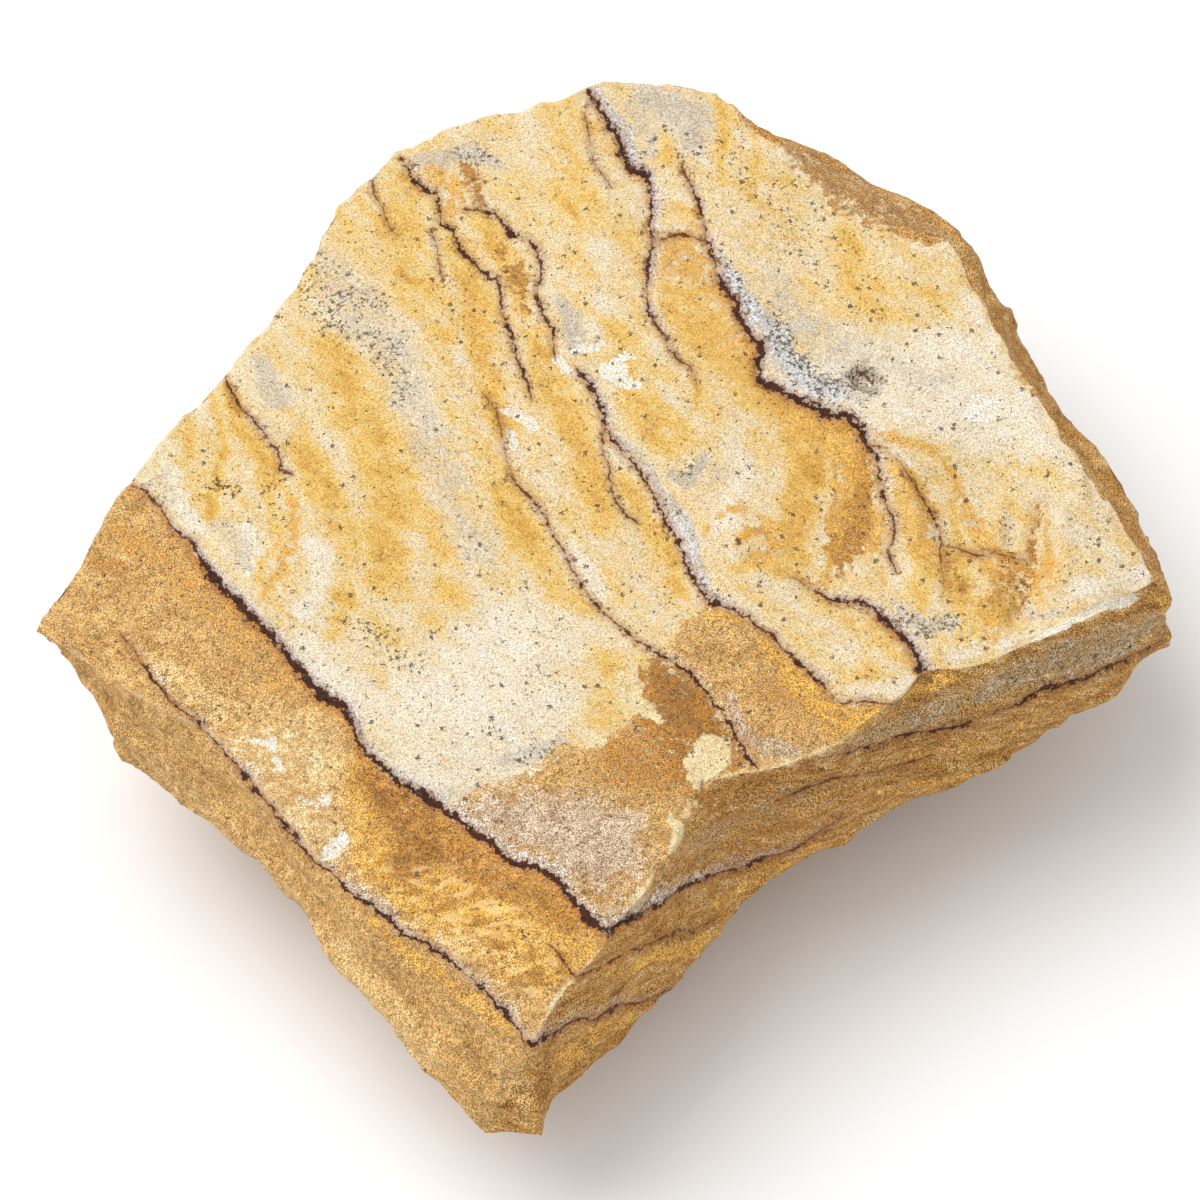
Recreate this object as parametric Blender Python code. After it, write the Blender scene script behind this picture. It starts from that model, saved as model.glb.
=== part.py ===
"""Picture jasper: one broken slab of banded stone that rests on a small flat spot.

The stone is a loft through five rings of stations round it: rim, shoulder, belly, keel and base. The top face
is a height over the plan, so its slopes, steps, pit and crevice are each one short function. Lengths in the
tables are millimetres; the mesh is in metres, +Z up, with its origin at the middle of the rest face's plane.
"""

import math

import bmesh
import bpy
from mathutils import Vector, noise

MM = 0.001
NAME = "picture_jasper"

# Mesh spacing
PITCH = 1.95
BASE_PITCH = 3.4
ROWS = (3, 4, 4, 4)
MERGE_SHARE = 0.3
CUT_GAP = 1e-5

# The top face: its height at the middle, and its rise for each millimetre towards the back
TOP_HEIGHT = 27.0
TOP_RISE = 0.08

# The band on the left slopes away from the thick vein, which runs straight from one end to the other
THICK_VEIN = ((-38.5, 4.0), (0.6, -37.2))
BAND_WIDTH = 9.0
BAND_FALL = 2.8
TIP_FALL = 1.0

# Each station is a place on the rim (x, y) and one on the belly below it (x, y, z), clockwise from the left tip
STATIONS = (
    ((-46.7, -7.6), (-43.6, -7.8, 18.0)),
    ((-43.3, -2.2), (-41.2, -1.2, 15.0)),
    ((-41.3, 1.1), (-40.5, 2.2, 14.0)),
    ((-37.8, 5.2), (-38.1, 6.8, 13.0)),
    ((-34.6, 9.5), (-35.6, 11.5, 12.0)),
    ((-30.5, 15.5), (-31.4, 17.3, 12.0)),
    ((-28.2, 18.6), (-28.6, 20.5, 12.0)),
    ((-24.8, 24.3), (-25.7, 26.2, 12.0)),
    ((-22.0, 31.0), (-22.5, 32.5, 13.0)),
    ((-17.3, 36.4), (-17.2, 37.8, 13.0)),
    ((-12.0, 39.5), (-11.5, 41.0, 13.0)),
    ((-5.5, 41.5), (-5.0, 43.5, 12.0)),
    ((0.3, 43.4), (1.0, 45.2, 12.0)),
    ((5.5, 43.7), (6.5, 45.5, 13.0)),
    ((10.0, 42.5), (11.7, 43.9, 14.0)),
    ((15.2, 37.5), (19.3, 40.6, 14.0)),
    ((19.6, 33.0), (25.5, 38.0, 15.0)),
    ((25.3, 29.0), (31.0, 34.0, 16.0)),
    ((29.3, 27.7), (34.5, 29.8, 16.0)),
    ((33.4, 17.8), (38.3, 21.7, 15.0)),
    ((38.3, 8.0), (43.1, 11.5, 14.0)),
    ((42.7, 0.8), (47.2, 3.9, 14.0)),
    ((45.7, -5.2), (46.8, -4.1, 15.5)),
    ((40.7, -8.2), (41.1, -9.7, 14.2)),
    ((34.0, -11.5), (33.7, -13.7, 13.5)),
    ((30.6, -13.1), (29.9, -15.7, 13.0)),
    ((26.0, -13.7), (25.1, -17.2, 12.0)),
    ((23.8, -16.6), (21.5, -19.5, 12.0)),
    ((19.2, -20.1), (17.8, -23.0, 11.5)),
    ((14.8, -22.2), (14.2, -24.0, 10.8)),
    ((9.5, -23.1), (10.8, -26.0, 10.0)),
    ((7.2, -26.3), (8.2, -30.3, 8.8)),
    ((5.2, -30.8), (6.0, -33.2, 8.5)),
    ((2.4, -35.2), (2.9, -35.3, 8.6)),
    ((0.3, -38.0), (0.6, -38.8, 9.0)),
    ((-1.8, -40.4), (-1.8, -41.4, 9.0)),
    ((-3.9, -42.5), (-4.0, -44.0, 9.5)),
    ((-5.2, -44.9), (-5.0, -47.4, 10.5)),
    ((-7.8, -42.2), (-9.1, -47.9, 11.5)),
    ((-13.7, -37.0), (-14.3, -43.6, 13.5)),
    ((-20.0, -32.0), (-20.6, -35.7, 14.5)),
    ((-24.0, -27.0), (-24.4, -29.7, 14.5)),
    ((-27.4, -22.4), (-27.8, -24.4, 13.0)),
    ((-32.4, -17.0), (-32.7, -18.9, 12.5)),
    ((-39.0, -12.9), (-39.5, -14.8, 14.0)),
    ((-41.3, -11.3), (-41.3, -10.2, 16.0)),
)

# The shoulder lies this share of the way from the rim to the belly, and stands proud of that line
SHOULDER_SHARE = 0.4
SHOULDER_PROUD = 0.5
# Stations whose edge is weathered to a bevel: how far it stands proud at each, and its share of the wall
BEVEL_PROUD = {15: 2.0, 16: 2.8, 17: 2.7, 18: 1.5}
BEVEL_SHARE = 0.16

# The underside draws in from the belly to the rest face, round the stone's middle. Its keel lies at a share of
# the way out and a share of the belly's height, each with the part that varies round the stone
MIDDLE = (0.5, -1.0)
KEEL_REACH = (0.82, 0.14)
KEEL_SHARE = (0.4, 0.34)
BASE_RADII = (13.5, 11.5)
BASE_WAVE = 0.3
UNDER_WAVE = 18.0

# Flat breaks across the underside: the direction each faces in plan, in degrees from +X, how steeply it rises
# outward, and how far from the stone's middle it leaves the rest face's plane
UNDER_BREAKS = (
    (14.0, 0.46, 17.0),
    (66.0, 0.38, 14.5),
    (121.0, 0.5, 16.5),
    (171.0, 0.42, 15.0),
    (222.0, 0.5, 16.0),
    (266.0, 0.33, 15.5),
    (322.0, 0.46, 14.5),
)
BREAK_PITCH = 2.6
# Corners below this height that lie closer than this distance become one
LOW_HEIGHT = 7.0
LOW_MERGE = 1.2

# Sheets that part the stone into layers: a point on each, and its normal. The rock below stands proud
THICK_SHEET = ((0.6, -37.1, 24.0), (0.32, 0.22, 0.92))
LOWER_SHEET = ((-5.2, -45.0, 20.5), (0.30, 0.20, 0.93))
UPPER_SHEET = ((19.5, -20.5, 24.5), (0.16, 0.14, 0.98))
LAYER_SHEETS = (
    (THICK_SHEET, 0.5),
    (LOWER_SHEET, 0.5),
    (UPPER_SHEET, 0.6),
    (((0.6, -37.1, 19.5), (0.32, 0.22, 0.92)), 0.4),
    (((30.0, 30.0, 22.0), (0.25, 0.18, 0.95)), 0.9),
    (((-20.0, 30.0, 20.0), (0.27, 0.2, 0.94)), 0.9),
    (((0.0, -5.0, 4.0), (0.3, 0.2, 0.93)), 0.9),
)
LAYER_SOFTNESS = 1.4

# Steps across the top face: the line of each, and how much higher the right-hand side stands
TOP_STEPS = (
    (((-38.5, 4.0), (-28.0, -9.1), (-20.5, -17.2), (-12.3, -26.4), (-4.5, -31.5), (0.6, -37.2)), 0.5),
    (((-3.0, 30.0), (-1.5, 17.0), (5.0, 4.0), (8.8, -7.0), (16.0, -13.5), (19.5, -16.6)), 0.5),
    (((6.5, 36.0), (9.0, 28.0), (13.0, 17.0), (22.0, 11.5), (24.0, 2.0), (24.6, -3.0)), 0.8),
)
STEP_SOFTNESS = 0.9

# Hollows and rises on the top face: middle (x, y), radii along x and y, height
TOP_LUMPS = (
    ((22.3, 14.1), (1.7, 1.5), -1.9),
    ((30.5, 1.0), (5.0, 6.0), -1.6),
    ((38.0, 1.0), (2.4, 5.0), 1.3),
    ((10.5, -21.0), (3.0, 2.2), -0.8),
    ((12.0, -2.0), (5.0, 6.5), 0.7),
    ((-24.0, -2.0), (9.0, 12.0), 0.9),
    ((5.0, 20.0), (12.0, 14.0), 0.6),
    ((-8.0, -26.0), (7.0, 4.0), -0.7),
)
CREVICE = ((36.5, 2.0), (35.8, 0.0), (35.7, -2.6), (35.0, -4.4), (33.8, -8.5))
CREVICE_DEPTH = 1.3
CREVICE_WIDTH = 1.3

# Fracture roughness: size of the waves and height, for the top face, the walls and the underside
TOP_ROUGH = ((9.0, 0.4), (4.0, 0.3))
WALL_ROUGH = ((11.0, 0.7), (4.5, 0.5))
UNDER_ROUGH = ((14.0, 0.8), (5.0, 0.6))
REST_BLEND = 5.0
NOISE_SEED = Vector((3.7, 11.3, 5.9))


def smooth_step(value):
    value = min(max(value, 0.0), 1.0)
    return value * value * (3.0 - 2.0 * value)


def offset_from_line(x, y, line):
    """Distance from a line of points in plan, and its sign: positive on the right of its direction."""
    best = None
    for (ax, ay), (bx, by) in zip(line, line[1:]):
        dx, dy = bx - ax, by - ay
        along = ((x - ax) * dx + (y - ay) * dy) / (dx * dx + dy * dy)
        along = min(max(along, 0.0), 1.0)
        ox, oy = x - ax - along * dx, y - ay - along * dy
        distance = math.hypot(ox, oy)
        if best is None or distance < abs(best):
            best = math.copysign(distance, ox * dy - oy * dx)
    return best


def band_drop(x, y):
    """The left band slopes away from the thick vein, and a little more towards the left tip."""
    across = offset_from_line(x, y, THICK_VEIN)
    share = min(max(across / BAND_WIDTH, 0.0), 1.0)
    tip = smooth_step((-34.0 - x) / 12.0)
    return share * (BAND_FALL + TIP_FALL * tip)


def top_height(x, y):
    """Height of the top face over a place in plan."""
    height = TOP_HEIGHT + TOP_RISE * y - band_drop(x, y)
    for line, rise in TOP_STEPS:
        across = -offset_from_line(x, y, line) / STEP_SOFTNESS
        fade = math.exp(-((across / 6.0) ** 2))
        height += rise * (smooth_step(0.5 + 0.5 * across) - 0.5) * fade
    for (cx, cy), (rx, ry), rise in TOP_LUMPS:
        height += rise * math.exp(-(((x - cx) / rx) ** 2) - ((y - cy) / ry) ** 2)
    crevice = offset_from_line(x, y, CREVICE) / CREVICE_WIDTH
    return height - CREVICE_DEPTH * math.exp(-(crevice**2))


def outward(index):
    """Unit direction away from the stone at a station, in plan."""
    before = STATIONS[index - 1][1]
    after = STATIONS[(index + 1) % len(STATIONS)][1]
    along = Vector((after[0] - before[0], after[1] - before[1], 0.0)).normalized()
    return Vector((-along.y, along.x, 0.0))


def shoulder_point(index, rim, belly):
    share = BEVEL_SHARE if index in BEVEL_PROUD else SHOULDER_SHARE
    proud = BEVEL_PROUD.get(index, SHOULDER_PROUD)
    return rim.lerp(belly, share) + outward(index) * proud


def station_rings():
    """One list of corner points for each ring, from the rim down to the base."""
    rings = [[], [], [], [], []]
    middle = Vector((MIDDLE[0], MIDDLE[1], 0.0))
    for index, (rim_xy, belly_xyz) in enumerate(STATIONS):
        rim = Vector((rim_xy[0], rim_xy[1], top_height(*rim_xy)))
        belly = Vector(belly_xyz)
        flat = Vector((belly.x, belly.y, 0.0)) - middle
        wave = noise.noise(flat / UNDER_WAVE + NOISE_SEED)
        keel = middle + flat * (KEEL_REACH[0] + KEEL_REACH[1] * wave)
        keel.z = belly.z * (KEEL_SHARE[0] + KEEL_SHARE[1] * wave)
        away = flat.normalized() * (1.0 + BASE_WAVE * wave)
        base = middle + Vector((away.x * BASE_RADII[0], away.y * BASE_RADII[1], 0.0))
        points = (rim, shoulder_point(index, rim, belly), belly, keel, base)
        for ring, point in zip(rings, points):
            ring.append(point)
    return rings


def fill_in(corners, counts):
    """A ring with extra points along each span between two of its corners."""
    points = []
    for index, count in enumerate(counts):
        start = corners[index]
        end = corners[(index + 1) % len(corners)]
        points.extend(start.lerp(end, step / count) for step in range(count))
    return points


def loft(mesh):
    """Walls and underside as rows of four-sided faces; returns the first and last rows of points."""
    rings = station_rings()
    spans = []
    for index in range(len(STATIONS)):
        following = (index + 1) % len(STATIONS)
        length = max((rings[ring][following] - rings[ring][index]).length for ring in (0, 2))
        spans.append(max(1, round(length / PITCH)))
    rings = [fill_in(ring, spans) for ring in rings]
    rows = [[mesh.verts.new(point) for point in rings[0]]]
    for upper, lower, count in zip(rings, rings[1:], ROWS):
        for step in range(1, count + 1):
            row = [mesh.verts.new(a.lerp(b, step / count)) for a, b in zip(upper, lower)]
            rows.append(row)
    for upper, lower in zip(rows, rows[1:]):
        for index in range(len(upper)):
            following = (index + 1) % len(upper)
            mesh.faces.new((upper[index], lower[index], lower[following], upper[following]))
    return rows[0], rows[-1]


def slice_cap(mesh, cap, pitch):
    """Divide a flat cap into square cells, without touching the walls' own faces."""
    xs = [corner.co.x for corner in cap.verts]
    ys = [corner.co.y for corner in cap.verts]
    pieces = [cap]
    for axis, low, high in ((0, min(xs), max(xs)), (1, min(ys), max(ys))):
        count = round((high - low) / pitch)
        normal = Vector((1.0, 0.0, 0.0)) if axis == 0 else Vector((0.0, 1.0, 0.0))
        for step in range(1, count):
            place = normal * (low + (high - low) * step / count)
            edges = {edge for face in pieces for edge in face.edges}
            corners = {corner for face in pieces for corner in face.verts}
            geometry = list(corners) + list(edges) + pieces
            cut = bmesh.ops.bisect_plane(mesh, geom=geometry, dist=CUT_GAP, plane_co=place, plane_no=normal)
            pieces = [item for item in cut["geom"] if isinstance(item, bmesh.types.BMFace)]
    return pieces


def cap_ends(mesh, rim, base):
    """Close the top with a height over its plan, and the base with a flat face."""
    heights = [corner.co.z for corner in rim]
    for corner in rim:
        corner.co.z = TOP_HEIGHT
    top_faces = slice_cap(mesh, mesh.faces.new(rim), PITCH)
    top_corners = {corner for face in top_faces for corner in face.verts}
    for corner in top_corners:
        corner.co.z = top_height(corner.co.x, corner.co.y)
    for corner, height in zip(rim, heights):
        corner.co.z = height
    slice_cap(mesh, mesh.faces.new(base), BASE_PITCH)


def break_underside(mesh):
    """Take off what lies beyond each flat break, and close the cut with a face of small cells."""
    for facing, rise, reach in UNDER_BREAKS:
        away = Vector((math.cos(math.radians(facing)), math.sin(math.radians(facing)), 0.0))
        place = Vector((MIDDLE[0], MIDDLE[1], 0.0)) + away * reach
        normal = Vector((away.x * rise, away.y * rise, -1.0)).normalized()
        geometry = list(mesh.verts) + list(mesh.edges) + list(mesh.faces)
        cut = bmesh.ops.bisect_plane(
            mesh, geom=geometry, dist=CUT_GAP, plane_co=place, plane_no=normal, clear_outer=True
        )
        rim = [item for item in cut["geom_cut"] if isinstance(item, bmesh.types.BMEdge)]
        filled = bmesh.ops.holes_fill(mesh, edges=rim)["faces"]
        for face in filled:
            slice_cap(mesh, face, BREAK_PITCH)
    bmesh.ops.remove_doubles(mesh, verts=mesh.verts, dist=MERGE_SHARE * PITCH)
    low = [corner for corner in mesh.verts if corner.co.z < LOW_HEIGHT]
    bmesh.ops.remove_doubles(mesh, verts=low, dist=LOW_MERGE)


def roughness(point, waves):
    """Sum of noise waves at a place, in millimetres."""
    total = 0.0
    for size, height in waves:
        total += height * noise.noise(point / size + NOISE_SEED)
    return total


def layer_relief(point):
    """How far a wall stands proud or back because of the sheets that part the layers."""
    relief = 0.0
    for (place, normal), proud in LAYER_SHEETS:
        above = (point - Vector(place)).dot(Vector(normal).normalized()) / LAYER_SOFTNESS
        relief -= proud * above * math.exp(0.5 - above * above)
    return relief


def break_surface(mesh):
    """Move each point along its normal, by the roughness of the kind of surface it lies on."""
    mesh.normal_update()
    moves = []
    for corner in mesh.verts:
        normal = corner.normal.copy()
        point = corner.co.copy()
        upward = smooth_step((normal.z - 0.55) / 0.4)
        downward = smooth_step((-normal.z - 0.2) / 0.5)
        wall = 1.0 - upward - downward
        move = upward * roughness(point, TOP_ROUGH) + downward * roughness(point, UNDER_ROUGH)
        move += wall * roughness(point, WALL_ROUGH) + (1.0 - upward) * layer_relief(point)
        moves.append(normal * (move * smooth_step(point.z / REST_BLEND)))
    for corner, move in zip(mesh.verts, moves):
        corner.co += move


def centre(mesh):
    """Put the origin under the middle of the stone's box, and turn millimetres into metres."""
    xs = [corner.co.x for corner in mesh.verts]
    ys = [corner.co.y for corner in mesh.verts]
    shift = Vector((-(min(xs) + max(xs)) / 2, -(min(ys) + max(ys)) / 2, 0.0))
    for corner in mesh.verts:
        corner.co = (corner.co + shift) * MM


def stone_material():
    """Ochre sandstone look: matt, warm, without metal."""
    material = bpy.data.materials.new("jasper")
    material.use_nodes = True
    shader = material.node_tree.nodes["Principled BSDF"]
    shader.inputs["Base Color"].default_value = (0.72, 0.48, 0.22, 1.0)
    shader.inputs["Roughness"].default_value = 0.8
    shader.inputs["Metallic"].default_value = 0.0
    return material


def build_stone(collection):
    """The stone as one closed solid."""
    mesh = bmesh.new()
    rim, base = loft(mesh)
    cap_ends(mesh, rim, base)
    bmesh.ops.remove_doubles(mesh, verts=mesh.verts, dist=MERGE_SHARE * PITCH)
    break_underside(mesh)
    bmesh.ops.triangulate(mesh, faces=mesh.faces, quad_method="BEAUTY", ngon_method="BEAUTY")
    bmesh.ops.recalc_face_normals(mesh, faces=mesh.faces)
    break_surface(mesh)
    centre(mesh)
    data = bpy.data.meshes.new(NAME)
    mesh.to_mesh(data)
    mesh.free()
    data.materials.append(stone_material())
    stone = bpy.data.objects.new(NAME, data)
    collection.objects.link(stone)
    return stone


def main():
    for old in list(bpy.data.objects):
        bpy.data.objects.remove(old, do_unlink=True)
    collection = bpy.data.collections.new("picture_jasper_stone")
    bpy.context.scene.collection.children.link(collection)
    build_stone(collection)


main()
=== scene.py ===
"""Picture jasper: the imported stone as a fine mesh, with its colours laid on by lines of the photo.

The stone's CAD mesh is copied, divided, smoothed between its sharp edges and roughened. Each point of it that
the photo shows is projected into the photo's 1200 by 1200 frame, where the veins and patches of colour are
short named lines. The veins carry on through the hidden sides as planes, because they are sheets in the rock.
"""

import math

import bmesh
import bpy
import numpy as np
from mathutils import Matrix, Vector, kdtree, noise


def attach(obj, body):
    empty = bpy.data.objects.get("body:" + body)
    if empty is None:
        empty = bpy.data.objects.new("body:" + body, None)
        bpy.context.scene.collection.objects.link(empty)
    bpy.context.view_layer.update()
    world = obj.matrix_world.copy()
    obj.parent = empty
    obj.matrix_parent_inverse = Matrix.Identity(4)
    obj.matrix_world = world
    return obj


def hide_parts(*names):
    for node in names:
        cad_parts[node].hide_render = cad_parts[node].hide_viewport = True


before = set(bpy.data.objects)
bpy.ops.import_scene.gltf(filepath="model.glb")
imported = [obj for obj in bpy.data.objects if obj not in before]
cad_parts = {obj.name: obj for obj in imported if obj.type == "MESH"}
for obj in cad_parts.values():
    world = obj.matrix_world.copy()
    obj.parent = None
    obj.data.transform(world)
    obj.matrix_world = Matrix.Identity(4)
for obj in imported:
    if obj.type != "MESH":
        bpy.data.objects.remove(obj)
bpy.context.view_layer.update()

MM = 0.001
STONE = "picture_jasper"

# Camera: the photo's view, in the frame's metres and degrees
PHOTO_SIZE = 1200
PIXEL = 0.0833 * MM
LENS = 180.0
SENSOR = 36.0
NEAR_CLIP = 0.01
DISTANCE = 0.5
ELEVATION = 56.0
TARGET = Vector((-0.000603, 0.001082, 0.016))
# A place faces the camera when its normal's part along the view is below this
SEEN_LIMIT = 0.05

# Mesh
CUTS = 4
MERGE = 1e-5
SHARP_ANGLE = math.radians(38.0)
SHADING_ANGLE = math.radians(50.0)
SMOOTH_ROUNDS = 14
REST_DEPTH = 0.05 * MM
FAR = 1e9

# Top: how level it is at least, where it turns down, and the distance from the middle that outweighs that
LEVEL = 0.8
TOP_TURN = math.radians(30.0)
MIDDLE_REACH = 1.0 / 30.0
EVEN_ROUNDS = 3
# The left side lies below the lower vein, from a share of its length to the corner at this pixel across
LOWER_START = 0.2
LOWER_CORNER = 533
LOOKS_UP = 0.3

# Relief: rows of height in millimetres, size of the waves in millimetres, and seed
TOP_WAVES = ((0.05, 1.4, 21), (0.04, 0.85, 22), (0.16, 4.5, 33), (0.09, 2.2, 34))
WALL_WAVES = ((0.16, 2.8, 24), (0.11, 1.2, 25), (0.07, 0.8, 26), (0.2, 6.0, 32))
SUGAR_WAVES = ((0.09, 0.95, 27), (0.06, 2.2, 28))
SCALE_WAVES = ((0.22, 1.0, 29),)
CHIP_WAVES = ((1.0, 2.4, 30), (0.25, 1.0, 31))
SCALE_STRETCH = np.array((0.5, 1.0, 1.0))
OCHRE_DEPTH = 0.07
CHIP_DEPTH = 0.16
FROST_HEIGHT = 0.05
# Ledges of the bedding, one to each pitch: how far they drift, where they are lowest, and their height
LEDGE_PITCH = 1.9 * MM
LEDGE_WAVES = ((0.9, 6.0, 23),)
LEDGE_LOW = 0.35
LEDGE_MIDDLE = 0.3
LEDGE_HEIGHT = 0.3
# Grooves along the veins, in millimetres: the wider the vein, the deeper and wider the groove
GROOVE_SHOULDER = 0.12
GROOVE_LEAST_WIDTH = 0.1
GROOVE_FROM_WIDTH = 0.02
GROOVE_BASE = 0.07
GROOVE_SLOPE = 0.4
GROOVE_MOST = 0.2
# Chips broken off the rim of the top
RIM_CHIP_LEVEL = 0.15
RIM_CHIP_DEPTH = 0.55
RIM_CHIP_REACH = 0.8 * MM
# Heights over the floor between which the relief fades in
CALM_FOOT = (0.1 * MM, 1.2 * MM)

# Bedding: the direction across the rock's layers
BEDDING = np.array((0.32, 0.22, 0.92)) / np.linalg.norm((0.32, 0.22, 0.92))

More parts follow.
